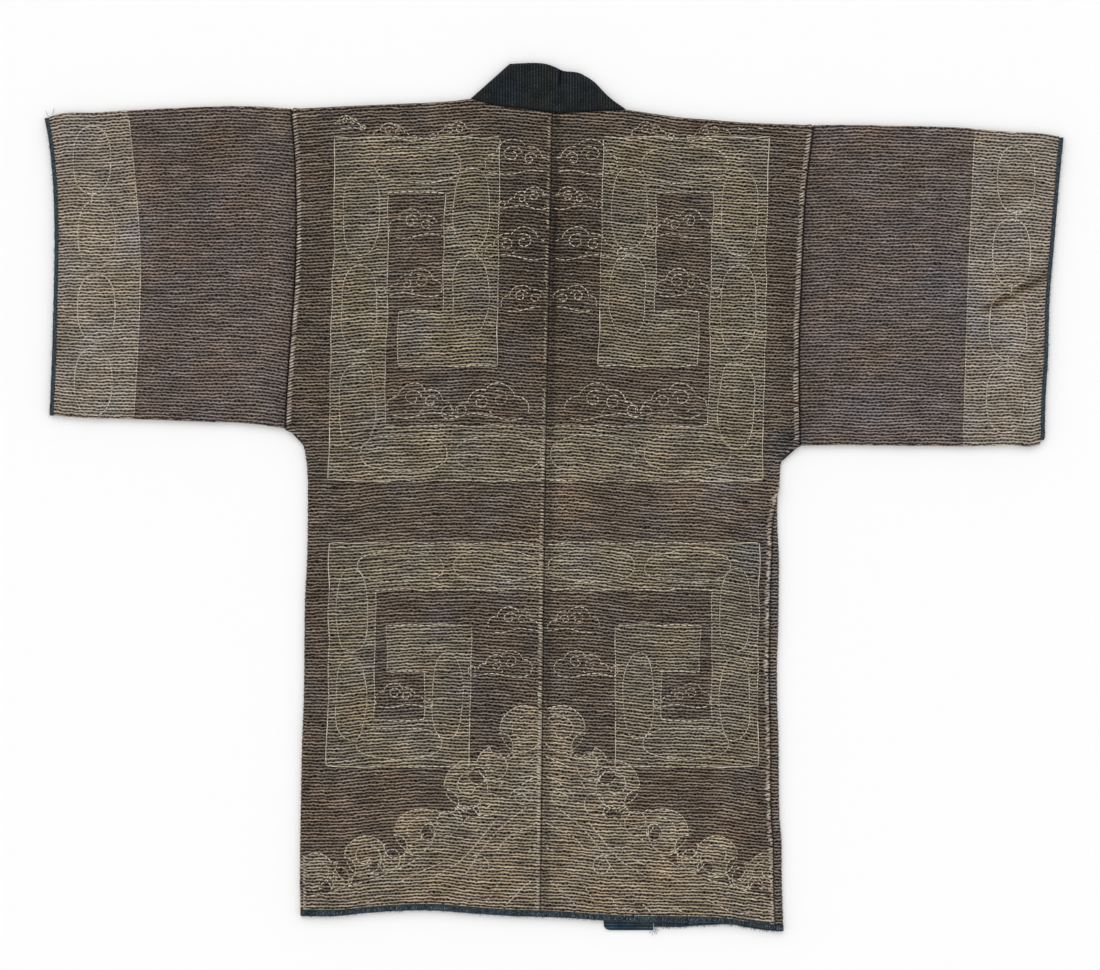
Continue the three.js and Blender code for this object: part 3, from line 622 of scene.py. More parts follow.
def indigoTape(name, look):
    # Two sizes of noise mix the dark and the light, and the peaks of a third are specks
    material, add = newMaterial(name)
    rows = add("UVMap rows")
    patch = add("TexNoise 2D", Vector=rows, Scale=0.6, Detail=3.0)
    grain = add("TexNoise 2D", Vector=rows, Scale=4.0, Detail=3.0)
    tone = add("MapRange", patch, 0.3, 0.7, 0.2, 1.0)
    tone = add("Math MULTIPLY", tone, add("MapRange", grain, 0.35, 0.7, 0.3, 1.1))
    colour = add("MixRGB", tone, paint(look["dark"]), paint(look["light"]))
    speck = add("TexNoise 2D", Vector=rows, Scale=2.4, Detail=1.0)
    speck = add("MapRange SMOOTHSTEP", speck, 0.6, 0.72, 0.0, 0.55)
    colour = add("MixRGB", speck, colour, paint(look["thread"]))
    matteEnd(add, colour, grain, 0.5, 0.0005, Roughness=0.92, Sheen_Weight=0.06, Specular_IOR_Level=0.15)
    return material


def cottonThread(name, clean, soiled):
    # Cotton thread, twisted and a little soiled: matte, uneven along its length
    material, add = newMaterial(name)
    coordinates = add("TexCoord").outputs["Object"]
    soil = add("TexNoise", Vector=coordinates, Scale=60.0, Detail=3.0)
    twist = add("TexNoise", Vector=coordinates, Scale=1600.0, Detail=2.0)
    colour = add("MixRGB", add("MapRange", soil, 0.35, 0.65), paint(soiled), paint(clean))
    matteEnd(add, colour, twist, 0.4, 0.0002, Roughness=0.85, Sheen_Weight=0.2)
    return material


quilt = quiltedCotton("quilted_cotton_body", bodyLook)
sleeveQuilt = quiltedCotton("quilted_cotton_sleeves", sleeveLook)
ribbed = ribbedCotton("ribbed_indigo_cotton", indigoLook)
bandCotton = ribbedCotton("ribbed_indigo_band", bandLook)
tape = indigoTape("indigo_cotton_tape", tapeLook)
outlineThread = cottonThread("outline_thread", "#d8cebc", "#a59984")
seamThread = cottonThread("seam_thread", "#c4b6ab", "#94877d")
print("materials made")


def bodyMarks(points, half):
    # What the dyes need at each point: depth inside the bands, the waves and the cuff's band, and the wear
    # with its painted light and shade
    x, y = points[:, 0], points[:, 1]
    sx, sy = strayed(np.abs(x - curve(centreSeam, y)), y)
    far = np.full(len(x), -50.0)
    light, warm = wear(x, y)
    return {
        "design": np.stack([depthIn(bands, sx, sy), depthInWater(sx, sy), far], -1),
        "wear": np.stack([light, warm, 0 * x], -1),
    }


def rolledShare(half, y):
    # 1 where the side is folded round, 0 above the armpit where it ends in a seam
    armpit = half["armhole"][0][0]
    return 1 - smooth(armpit - 14, armpit + 1, y)


# Seams: half widths of their grooves, and the welts beside them
seams = {
    "centreWidth": 0.9, "sideWidth": 1.1, "neckWidth": 1.5, "armholeWidth": 1.4,
    "centreShare": 0.8,  # the centre seam's depth, as a share of the others'
    "weltHeight": 0.9, "weltPlace": 4.0, "weltWidth": 2.6,
    "centreWelt": 0.4, "centreWeltPlace": 3.4, "centreWeltWidth": 2.2,  # on the left half only
    "weltShift": 1.8, "weltShiftWidth": 8,  # rows slant down towards a seam
    "flatten": 0.7,  # the quilting is this much lower in a groove
    "darken": 0.9, "weltLight": 0.3,  # how much darker a groove is, and how much lighter a welt
}
crowdedWidth = 12  # of the strip under the collar that takes up the rows cut off by its seam
straightWidth = 14  # of the strips at the hem and the top where the rows run straight


def backPanel(half):
    # Half of the back. Rows run across it from the centre seam. Its outer edge goes round the fold at the
    # side or ends in a seam, and its upper edge goes round the shoulder or ends at the collar.
    out = half["outward"]
    radius = cloth["foldRadius"]
    gap = cloth["seamGap"]
    neckX = abs(half["neck"][0][0] if out < 0 else half["neck"][-1][0])
    shoulder = half["shoulder"] + half["yoke"]
    fold = cloth["foldTurn"] * radius
    middle = 150 * out  # where the rows are counted

    def columnEnds(share):
        # Each line's upper end, its lower end's height, and whether it ends at the collar
        lowX, topX = [mix(curve(centreSeam, y), outerEdge(half, y), share) for y in cloth["lineEnds"]]
        onNeck = 1 - smooth(neckX - 5, neckX + 3, out * topX)
        return topX, curve(backHem, lowX) + cloth["hemInset"], onNeck

    def sideEnd(y):
        # 1 where the side is folded, where the flat cloth ends, and how far it goes on round the fold
        rolled = rolledShare(half, y)
        limit = outerEdge(half, y) - out * (radius * rolled + gap / 2 * (1 - rolled))
        return rolled, limit, curve(half["seamPlace"], y) * rolled

    tall = curve(shoulder, middle) - radius + fold - curve(backHem, middle) - cloth["hemInset"]
    rows = round(tall / cloth["rowPitch"])
    columns = 2 * round(cloth["backWidth"] / (2 * cloth["column"]))
    margin = np.array([12.4, 10.2, 8.4, 6.8, 5.4, 4.2, 3.1, 2.2, 1.4, 0.7, 0])  # closer together at the edge
    main = np.concatenate([[0, 0.25, 0.5], np.arange(1, columns)]) / columns
    t = np.linspace(0, 1, cloth["perRow"] * rows + 1)[:, None]
    share = np.concatenate([main, np.ones(len(margin))])[None, :]
    topX, low, onNeck = columnEnds(share)
    flatUp = curve(shoulder, topX) - radius - low
    up = t * (flatUp + fold)
    # under the collar the seam cuts across the rows, so the last of them are crowded into a narrow strip
    neckUp = curve(half["neck"], topX) - gap / 2 - low
    cut = crowdedWidth
    crowded = neckUp - cut + (up - neckUp + cut) * cut / (flatUp + fold - neckUp + cut)
    up = mix(up, np.minimum(up, crowded), onNeck)
    overTop = np.clip((up - flatUp) / radius, 0, None)
    y = low + np.minimum(up, flatUp) + radius * np.sin(overTop)
    # place along the row: flat as far as the limit, then round the fold
    rolled, limit, reach = sideEnd(y)
    flat = out * (limit - curve(centreSeam, y)) - gap / 2
    length = flat + reach
    inner = np.broadcast_to(main[None, :], (len(t), len(main))) * (length[:, : len(main)] - margin[0])
    outer = length[:, len(main) :] - margin[None, :]
    c = np.concatenate([inner, outer], axis=1)
    overSide = np.clip((c - flat) / radius, 0, None)
    x = curve(centreSeam, y) + out * (gap / 2 + np.minimum(c, flat) + radius * np.sin(overSide))
    uOuter = columns / 2 + (margin[0] - margin[None, :]) / cloth["stitchPitch"] + 0 * outer
    u = np.concatenate([np.broadcast_to(main * columns / 2, inner.shape), uOuter], axis=1)
    v = up * rows / (flatUp + fold)
    # seams: a groove where two pieces meet, and a welt over the cloth that is turned in beside it
    toEdge = length - c
    seamed = np.maximum(1 - rolled, smooth(30, 12, y) * (reach < 9))
    groove = seams["centreShare"] * hump(c, seams["centreWidth"]) + seamed * hump(toEdge, seams["sideWidth"])
    groove = np.clip(groove + onNeck * hump(neckUp - up, seams["neckWidth"]), 0, 1)
    centreWelt = seams["centreWelt"] * hump(c - seams["centreWeltPlace"], seams["centreWeltWidth"])
    welt = seamed * hump(toEdge - seams["weltPlace"], seams["weltWidth"], 4) + (out < 0) * centreWelt
    toTop = mix(flatUp + fold, neckUp, onNeck) - up
    calm = smooth(0, straightWidth, up) * smooth(0, straightWidth, toTop)
    fade = np.cos(np.clip(overSide, 0, 1.5)) * np.cos(np.clip(overTop, 0, 1.5))
    onFold = 1 - smooth(*cloth["rowsEnd"], np.maximum(overSide, overTop))
    height = quilting(u, v) * onFold * (1 - seams["flatten"] * groove) - cloth["grooveDepth"] * groove
    height = height + seams["weltHeight"] * welt + relief(x, y) * fade * calm
    drop = radius * (2 - np.cos(overSide) - np.cos(overTop))
    z = np.maximum(cloth["furrowTop"] - drop + height * np.cos(overSide) * np.cos(overTop), 0.02)
    shiftY = (1.0 * ripple(x, y, 31, 95) + rowShift(x, v, 33)) * calm * fade
    shiftY = shiftY - seams["weltShift"] * seamed * (1 - smooth(0, seams["weltShiftWidth"], toEdge)) * calm
    top = np.stack([x + out * height * np.sin(overSide), y + shiftY + height * np.sin(overTop), z], -1)
    # plain inside
    t = np.linspace(0, 1, 60)[:, None]
    s = np.linspace(0, 1, 24)[None, :]
    topX, low, onNeck = columnEnds(s)
    y = mix(low, mix(curve(shoulder, topX) - radius, curve(half["neck"], topX) - gap / 2, onNeck), t)
    _, limit, reach = sideEnd(y)
    x = mix(curve(centreSeam, y) + out * gap / 2, limit + out * np.minimum(reach, 0), s)
    under = np.stack([x, y, np.full(y.shape, cloth["upperInside"])], -1)
    points, faces = closedSheet(top, under)
    marks = bodyMarks(points, half)
    marks["wear"][: groove.size, 2] = groove.ravel() * seams["darken"]
    marks["wear"][: groove.size, 0] += (seams["weltLight"] * welt).ravel()
    uvUnder = np.stack([np.abs(x) / cloth["stitchPitch"], y / cloth["rowPitch"]], -1)
    return points, faces, np.concatenate([np.stack([u, v], -1).reshape(-1, 2), uvUnder.reshape(-1, 2)]), marks


for side, half in halves.items():
    points, faces, uv, marks = backPanel(half)
    back = makePiece("back_cloth_" + side, points, faces, quilt, "back_" + side, uv, marks)


strip = {
    "low": -521.5, "high": 18,
    "rowOrigin": -503.7,  # its rows are counted from this height, as the back's are
    "seamDepth": 1.4, "insideRadius": 0.25,
}


def turnedStrip(half):
    # The strip of the right front that turns over onto the back, from the side seam round the folded edge
    out = half["outward"]
    radius = cloth["foldRadius"]
    y = np.arange(strip["low"], strip["high"], cloth["rowPitch"] / cloth["perRow"])[:, None]
    limit = curve(half["side"], y) - out * radius
    start = curve(half["seamPlace"], y) + cloth["seamGap"]
    share = np.array([0, 0.05, 0.12, 0.2, 0.3, 0.4, 0.5, 0.58, 0.66, 0.74, 0.82, 0.91, 1])[None, :]
    s = mix(start, cloth["foldTurn"] * radius, share)
    turn = np.clip(s / radius, 0, None)
    u = s / cloth["stitchPitch"]
    v = (y - strip["rowOrigin"]) / cloth["rowPitch"] + 0 * s
    groove = hump(s - start, seams["sideWidth"])
    height = quilting(u, v) * (1 - smooth(*cloth["rowsEnd"], turn)) * (1 - seams["flatten"] * groove)
    height = height - strip["seamDepth"] * groove
    x = limit + out * (np.minimum(s, 0) + (radius + height) * np.sin(turn))
    z = cloth["furrowTop"] - radius + (radius + height) * np.cos(turn)
    z = np.where(s < 0, cloth["furrowTop"] + height, z)
    top = np.stack([x, y + 0.4 * ripple(x, y, 35, 40), z], -1)
    inside = strip["insideRadius"]
    x = limit + out * (np.minimum(s, 0) + inside * np.sin(turn))
    z = cloth["upperInside"] - inside * (1 - np.cos(turn))
    return top, np.stack([x, y + 0 * s, z], -1)[::3, ::2], np.stack([u, v], -1)


def frontPanel(half):
    # A front: one plain wall on the floor, from the collar band to the folded edge and up to the shoulder
    out = half["outward"]
    radius = cloth["foldRadius"]
    gap = cloth["seamGap"]
    band = half["band"]
    t = np.linspace(0, 1, 120)[:, None]
    s = np.linspace(0, 1, 40)[None, :]

    def bandEdge(y):
        # the collar band's outer edge, straight from the hem to the neck
        rise = (y - band["low"]) / (band["high"] - band["low"])
        return mix(band["outer"], band["neckOuter"], rise) + out * gap

    lowEnd, highEnd = cloth["frontLineEnds"]
    lowX = mix(bandEdge(band["low"]), outerEdge(half, lowEnd), s)
    topX = mix(bandEdge(band["high"]), outerEdge(half, highEnd), s)
    low = curve(half["frontHem"], lowX) + cloth["hemInset"]
    y = mix(low, curve(half["shoulder"], topX) - radius - 0.4, t)
    limit = outerEdge(half, y) - out * (radius * rolledShare(half, y) + gap)
    x = mix(bandEdge(y), limit, s)
    top = np.stack([x, y, np.full(x.shape, cloth["lowerInside"])], -1)
    under = np.stack([x, y, np.zeros(x.shape)], -1)
    return top, under, np.stack([np.abs(x) / cloth["stitchPitch"], y / cloth["rowPitch"]], -1)


for side, half in halves.items():
    top, under, uv = frontPanel(half)
    points, faces = closedSheet(top, under)
    uvs = [uv, uv]
    if side == "right":
        top, under, uv = turnedStrip(half)
        stripPoints, stripFaces = closedSheet(top, under)
        faces = np.concatenate([faces, stripFaces + len(points)])
        points = np.concatenate([points, stripPoints])
        uvs += [uv, uv[::3, ::2]]
    uv = np.concatenate([part.reshape(-1, 2) for part in uvs])
    marks = bodyMarks(points, half)
    marks["design"][:] = -50  # no design, and a little darker and cooler
    marks["wear"][:, 0] -= 0.06
    marks["wear"][:, 1] -= 0.7
    front = makePiece("front_cloth_" + side, points, faces, quilt, "front_" + side, uv, marks)


def sleeveTube(half):
    # A sleeve: a flattened tube. Its rows run from the armhole to the cuff, round both folded edges.
    out = half["outward"]
    radius = cloth["foldRadius"]
    columns = 2 * round(cloth["sleeveLength"] / (2 * cloth["column"]))
    a = np.concatenate([[0, 0.25, 0.5], np.arange(1, columns + 1)]) / columns

    def ends(yArmhole, yCuff):
        # where the cloth starts at the armhole, and where it ends inside the cuff's tape
        start = curve(half["armhole"], yArmhole) + out * cloth["seamGap"] / 2
        return start, curve(half["cuff"], yCuff) - out * cloth["cuffInset"]

    low = curve(half["sleeveLow"], mix(*ends(half["armhole"][0][0], half["cuff"][0][0]), a))[None, :]
    high = curve(half["sleeveTop"], mix(*ends(half["armhole"][-1][0], half["cuff"][-1][0]), a))[None, :]
    wide = high - low - 2 * radius
    foldLength = np.pi * radius
    rows = round((wide.mean() + 2 * foldLength) / cloth["rowPitch"])
    t = np.linspace(0, 1, cloth["perRow"] * rows + 1)[:, None]
    e = t * (wide + 2 * foldLength) - foldLength
    lowTurn = np.clip(-e / radius, 0, np.pi)
    topTurn = np.clip((e - wide) / radius, 0, np.pi)
    turn = np.maximum(lowTurn, topTurn)
    y = low + radius + np.clip(e, 0, wide) - radius * np.sin(lowTurn) + radius * np.sin(topTurn)
    armholeX, cuffX = ends(y, y)
    x = mix(armholeX, cuffX, a[None, :])
    u = np.broadcast_to(a * columns / 2, x.shape)
    v = np.broadcast_to(t * rows, x.shape)
    groove = hump(a[None, :] * np.abs(cuffX - armholeX), seams["armholeWidth"])
    calm = smooth(0, 12, wide + foldLength - e) * smooth(0, 12, e + foldLength)
    fade = np.cos(np.clip(turn, 0, 1.5))
    height = quilting(u, v) * (1 - smooth(*cloth["rowsEnd"], turn)) * (1 - seams["flatten"] * groove)
    height = height - cloth["grooveDepth"] * groove * (turn < 1.6) + relief(x, y) * fade
    z = cloth["furrowTop"] - radius * (1 - np.cos(turn)) + height * np.cos(turn)
    shiftY = (1.1 * ripple(x, y, 32, 90) + rowShift(x, v, 34)) * calm * fade
    outer = np.stack([x, y + shiftY + height * (np.sin(topTurn) - np.sin(lowTurn)), np.maximum(z, 0)], -1)
    # the plain underside, then the inside
    n = np.linspace(0, 1, 14)[1:-1, None]
    yUnder = mix(high - radius, low + radius, n)
    xUnder = mix(*ends(yUnder, yUnder), a[None, :])
    outer = np.concatenate([outer, np.stack([xUnder, yUnder, 0 * xUnder], -1)])
    perSide = 16
    t = np.linspace(0, 1, perSide)[:, None]
    yIn = np.concatenate([mix(low + radius, high - radius, t), mix(high - radius, low + radius, t)])[:, ::3]
    along = a[::3][None, :]
    xIn = mix(*ends(yIn, yIn), along)
    upperSide = np.arange(2 * perSide)[:, None] < perSide
    zIn = np.where(upperSide, cloth["upperInside"], cloth["lowerInside"]) + 0 * xIn
    # how far round each row lies, from the lower fold
    upper = 0.02 + 0.48 * np.clip(e / wide, 0, 1) - 0.02 * lowTurn / np.pi + 0.02 * topTurn / np.pi
    shareOuter = np.concatenate([upper[:, -1], 0.52 + 0.48 * n[:, 0]])
    shareInner = np.concatenate([mix(0.02, 0.5, t[:, 0]), mix(0.52, 1.0, t[:, 0])])
    points, faces = closedTube(outer, np.stack([xIn, yIn, zIn], -1), shareOuter, shareInner)
    vUnder = rows + (high - radius - yUnder) / cloth["rowPitch"]
    uvs = [np.stack([u, v], -1), np.stack([u[:1] + 0 * xUnder, vUnder], -1)]
    uvs.append(np.stack([along * columns / 2 + 0 * xIn, yIn / cloth["rowPitch"]], -1))
    px, py = points[:, 0], points[:, 1]
    light, warm = wear(px, py)
    inCuff = out * (px - curve(half["cuffBand"], py + 0 * px)) + 0.8 * ripple(px, py, 36, 40)
    far = np.full(len(px), -50.0)
    dark = np.zeros(len(px))
    dark[: groove.size] = groove.ravel() * seams["darken"]
    marks = {"design": np.stack([far, far, inCuff], -1), "wear": np.stack([light, warm, dark], -1)}
    return points, faces, np.concatenate([part.reshape(-1, 2) for part in uvs]), marks


for side, half in halves.items():
    points, faces, uv, marks = sleeveTube(half)
    sleeve = makePiece(
        "sleeve_cloth_" + side, points, faces, sleeveQuilt, "sleeve_" + side, uv, marks)

threadPitch = 2.6  # one unit of the tapes' maps


def cuffTape(half):
    # The tape round the end of a sleeve: a rounded section carried round the flattened tube
    out = half["outward"]
    width, thick, radius, count = 5.8, 3.5, 3.95, 140
    flat = np.linspace(half["cuff"][0][0] + radius, half["cuff"][-1][0] - radius, count)
    turn = np.linspace(0, np.pi, 9)[1:-1]
    along, c, s = np.ones(count), np.cos(turn), np.sin(turn)
    y = np.concatenate([flat, flat[-1] + radius * s, flat[::-1], flat[0] - radius * s])
    z = np.concatenate([2 * radius * along, radius + radius * c, 0 * along, radius - radius * c])
    inY = np.concatenate([0 * along, -s, 0 * along, s])
    inZ = np.concatenate([-along, -c, along, c])
    angle = np.linspace(0, 2 * np.pi, 15)[:-1][None, :]
    swell = 0.25 * ripple(y, z * 9, 41, 13)[:, None] * (z > 0)[:, None]
    acrossX = 0.5 + 0.5 * squared(np.cos(angle), 0.6)
    deep = 0.5 - 0.5 * squared(np.sin(angle), 0.6)
    x = curve(half["cuff"], y)[:, None] - out * width * (1 - acrossX) + out * swell * 0.8
    py = y[:, None] + inY[:, None] * thick * deep
    pz = z[:, None] + inZ[:, None] * (thick * deep - swell * (z > radius)[:, None])
    grid = np.stack([x, py, pz], -1)
    faces = gridFaces(np.pad(numbered(grid), ((0, 1), (0, 1)), "wrap"))
    uv = np.stack(np.broadcast_arrays(angle, np.arange(len(y))[:, None] * threadPitch / 2), -1)
    return grid.reshape(-1, 3), faces, uv.reshape(-1, 2)


for side, half in halves.items():
    points, faces, uv = cuffTape(half)
    piece = makePiece("cuff_tape_" + side, points, faces, tape, "cuff_" + side, uv)


def hemTape(pathX, pathY, low, high, seed):
    # A binding along a hem: a rounded section carried along a path from left to right, closed at both ends.
    # low and high give the heights of its underside and top along it.
    angle = np.linspace(0, 2 * np.pi, 17)[:-1][None, :]
    width = 8
    pathX = pathX[:, None]
    swell = 0.35 * ripple(pathX, pathX * 0, seed, 26) + 0.2 * ripple(pathX, pathX * 0, seed + 1, 8)
    acrossY = 0.5 + 0.5 * squared(np.cos(angle), 0.55)
    up = 0.5 + 0.5 * squared(np.sin(angle), 0.55)
    x = pathX + 0 * angle
    y = pathY[:, None] + width * acrossY + swell * 0.6 * (1 - acrossY)
    grid = np.stack([x, y, mix(low[:, None], high[:, None] + swell, up)], -1)
    index = numbered(grid)
    faces = [gridFaces(np.pad(index, ((0, 0), (0, 1)), "wrap"))]
    for row, centre in ((0, index.size), (-1, index.size + 1)):
        cap = np.stack([index[row], np.roll(index[row], -1), np.full(angle.size, centre)], -1)
        faces.append(cap if row else cap[:, ::-1])
    points = np.concatenate([grid.reshape(-1, 3), grid[0].mean(0)[None], grid[-1].mean(0)[None]])
    uv = np.stack([x / threadPitch, 4 * angle / 6.3 + 0 * x], -1).reshape(-1, 2)
    return points, np.concatenate(faces), np.concatenate([uv, uv[:1], uv[-1:]])


def hemPieces():
    # The back's binding and the fronts', each as its path, underside, top and seed
    left, right = halves["left"], halves["right"]
    foldX = left["side"][0][1]
    seamX = right["side"][0][1] - 10 - cloth["seamGap"]
    upperTop, lowerTop = 7.9, 3.6
    x = np.linspace(foldX, seamX, 240)
    low = np.where(x < foldX + 4.2, 0.0, cloth["upperInside"])
    pieces = {"hem_back": (x, curve(backHem, x), low, 0 * x + upperTop, 51)}
    x = np.linspace(foldX + 4.8, left["band"]["outer"] - 0.3, 70)
    pieces["hem_front_left"] = (x, curve(left["frontHem"], x), 0 * x, 0 * x + lowerTop, 53)
    x = np.linspace(right["band"]["outer"] + 0.3, right["side"][0][1], 90)
    high = np.where(x > seamX + 0.6, upperTop, lowerTop)
    pieces["hem_front_right"] = (x, curve(right["frontHem"], x), 0 * x, high, 55)
    return pieces


for node, settings in hemPieces().items():
    points, faces, uv = hemTape(*settings)
    piece = makePiece(node.replace("hem", "hem_tape"), points, faces, tape, node, uv)

# The collar behind the neck: from the seam at the neck up to its fold, between the slanting folds at its ends
collar = {
    "low": (-102, 88), "high": (-54, 29),  # from left to right, at the seam and at the fold
    "leftFold": (-102, 487, -54, 530), "rightFold": (88, 474, 29, 522),
    "middle": 4.05,  # height of the middle of its thickness
    "rib": 0.45, "ribPitch": 3.4, "stitchPitch": 4.2,
    "creaseDepth": 3.4, "seamDepth": 1.0,
}


def nape():
    # The collar's cloth: a sheet between the seam and the fold, whose edges and fold are rounded
    u = np.linspace(0, 1, 230)
    u = mix(u, 0.5 - 0.5 * np.cos(np.pi * u), 0.3)[None, :]
    v = np.linspace(0, 1, 64)
    v = mix(v, 0.5 - 0.5 * np.cos(np.pi * v), 0.5)[:, None]
    neck = halves["left"]["neck"] + halves["right"]["neck"][2:]
    lowX, highX = mix(*collar["low"], u), mix(*collar["high"], u)
    lowY, highY = curve(neck, lowX) + 0.3, curve(napeEdge, highX)
    x, y = mix(lowX, highX, v), mix(lowY, highY, v)
    # the right end bulges above and is drawn in below, and the corner at its top is round
    x = x - 2.8 * np.sin(2 * np.pi * v) * u**6 - 3 * v**12 * u**6
    y = y - 2.5 * v**8 * u**8
    # distance from the folded edges, which are rounded
    fromLeft, fromRight = besideLine(x, y, collar["leftFold"])[1], -besideLine(x, y, collar["rightFold"])[1]
    inside = np.minimum(np.minimum(fromLeft, fromRight), (highY - lowY) * (1 - v))
    middle = collar["middle"]
    inside = np.clip(inside, 0, middle)
    edge = np.sqrt(np.clip(middle**2 - (middle - inside) ** 2, 0, None))
    rib = 0.5 + 0.5 * np.cos(2 * np.pi * x / collar["ribPitch"])
    crease = -collar["creaseDepth"] * hump(x - 8 + 0.06 * (522 - y), 1.5) * smooth(494, 514, y)
    crease = crease - collar["seamDepth"] * hump(y - lowY, 1.6)
    swell = 0.5 * ripple(x, y, 61, 50) * inside / middle
    z = middle + edge + (rib * collar["rib"] + crease + swell) * inside / middle
    under = np.stack([x, y, np.full(x.shape, cloth["upperInside"])], -1)[::7, ::10]
    points, faces = closedSheet(np.stack([x, y, z], -1), under)
    uv = np.stack([points[:, 0] / collar["ribPitch"], points[:, 1] / collar["stitchPitch"]], -1)
    # painted shade in the crease, and the dark of the seam at the neck, darker where they are deeper
    folded = np.zeros(points.shape)
    folded[: crease.size, 0] = np.clip(-0.5 * crease, 0, 0.9).ravel()
    return points, faces, uv, {"crease": folded}


points, faces, uv, marks = nape()
piece = makePiece("collar_nape_cloth", points, faces, ribbed, "collar_nape", uv, marks)


def collarBand(half):
    # A collar band on the floor, along the front's inner edge, from the hem to the slanting fold at the neck
    out = half["outward"]
    band = half["band"]
    low, high = band["low"], band["high"]
    tipX, tipY = half["bandTip"]
    tipY = tipY - 4
    y = [np.linspace(low, low + 12, 9), np.linspace(low + 16, high, 110), np.linspace(high + 2, tipY, 20)]
    y = np.concatenate(y)[:, None]
    rise = np.clip((y - low) / (high - low), 0, 1)
    above = np.clip((y - high) / (tipY - high), 0, 1)
    outer = mix(mix(band["outer"], band["neckOuter"], rise), tipX + out * 1.0, above)
    inner = mix(mix(band["inner"], band["neckInner"], rise), tipX - out * 1.0, above)
    outer = outer - 2.8 * np.sin(2 * np.pi * above) * (out > 0) - out * (2 * above + 0.6)
    share = np.array([0, 0.015, 0.04, 0.08, 0.2, 0.35, 0.5, 0.65, 0.8, 0.92, 0.96, 0.985, 1])[None, :]
    cornerRadius = 7
    corner = np.clip(1 - (y - low) / cornerRadius, 0, 1)
    inner = inner + out * cornerRadius * (1 - np.sqrt(1 - corner**2)) * (out > 0)
    x = mix(outer, inner, share)
    # all its edges are rounded, and a groove runs above the hem at its end
    fromEnd = y - low + 0 * x
    fromSide = np.minimum(np.abs(x - outer), np.abs(x - inner))
    edgeRadius, thickness, grooveAt = 1.8, 3.6, 6.5
    rounding = 1 - np.clip(np.minimum(fromEnd, fromSide) / edgeRadius, 0, 1)
    rounding = edgeRadius * (1 - np.sqrt(1 - rounding**2))
    groove = 0.9 * hump(fromEnd - grooveAt, 1.2)
    top = np.stack([x, y + 0 * x, thickness - rounding - groove], -1)
    points, faces = closedSheet(top, np.stack([x, y + 0 * x, 0.4 * rounding], -1))
    return points, faces, np.stack([points[:, 1] / 3.7, points[:, 0] / 4.2], -1)


for side, half in halves.items():
    points, faces, uv = collarBand(half)
    piece = makePiece("collar_band_" + side, points, faces, bandCotton, "collar_" + side, uv)


def stitchesAlong(path, flatPitch=7.6, steepPitch=3.9, gap=1.6):
    # Splits a path into stitches: long ones where it runs along the rows, short ones where it crosses them
    path = np.asarray(path, float)
    step = np.diff(path, axis=0)
    length = np.hypot(step[:, 0], step[:, 1])
    steep = np.abs(step[:, 1]) / np.maximum(length, 1e-6)
    count = np.concatenate([[0], np.cumsum(length / mix(flatPitch, steepPitch, steep))])
    place = np.concatenate([[0], np.cumsum(length)])
    stitches = np.arange(int(count[-1]))
    start = np.interp(stitches, count, place) + gap / 2
    end = np.interp(stitches + 1, count, place) - gap / 2
    return np.stack([np.stack([np.interp(s, place, axis) for axis in path.T], -1) for s in (start, end)], 1)


def boxPath(box):
    # Once round a box
    x0, y0, x1, y1 = box
    return np.array([(x0, y0), (x1, y0), (x1, y1), (x0, y1), (x0, y0)])


def ringPath(cx, cy, rx, ry, start=0.0, turns=1.0, shrink=0.0, square=1.0):
    # A ring, an oval with flattened sides, or a spiral whose radius shrinks
    angle = start + np.linspace(0, turns * 2 * np.pi, 80)
    size = 1 - shrink * np.linspace(0, 1, 80)
    x = cx + rx * size * squared(np.cos(angle), square)
    return np.stack([x, cy + ry * size * squared(np.sin(angle), square)], -1)


def unionOutline(shapes):
    # Stitches round a union of boxes and discs: each shape's own outline, where no other shape covers it
    kept = []
    for i, shape in enumerate(shapes):
        path = boxPath(shape) if len(shape) == 4 else ringPath(*shape, shape[2])
        stitches = stitchesAlong(path)
        x, y = stitches.mean(1).T
        kept.append(stitches[depthIn(shapes[:i] + shapes[i + 1 :], x, y) < 0.2])
    return np.concatenate(kept)


def ovalsInBars(fret):
    # Long ovals head to tail along the runs of a fret
    paths = []
    longest, wide = design["oval"]
    wide = wide / 2 * fret["width"] / design["frets"][0]["width"]
    for (ax, ay), (bx, by) in zip(fret["path"][:-1], fret["path"][1:]):
        length = np.hypot(bx - ax, by - ay)
        if length < 60:
            continue
        count = max(1, int(round(length / (longest + 6))))
        long = min(longest, length / count - 8) / 2
        flat = abs(bx - ax) > abs(by - ay)
        for k in range(count):
            share = (k + 0.5) / count
            size = (long, wide) if flat else (wide, long)
            paths.append(ringPath(mix(ax, bx, share), mix(ay, by, share), *size, square=0.8))
    return paths


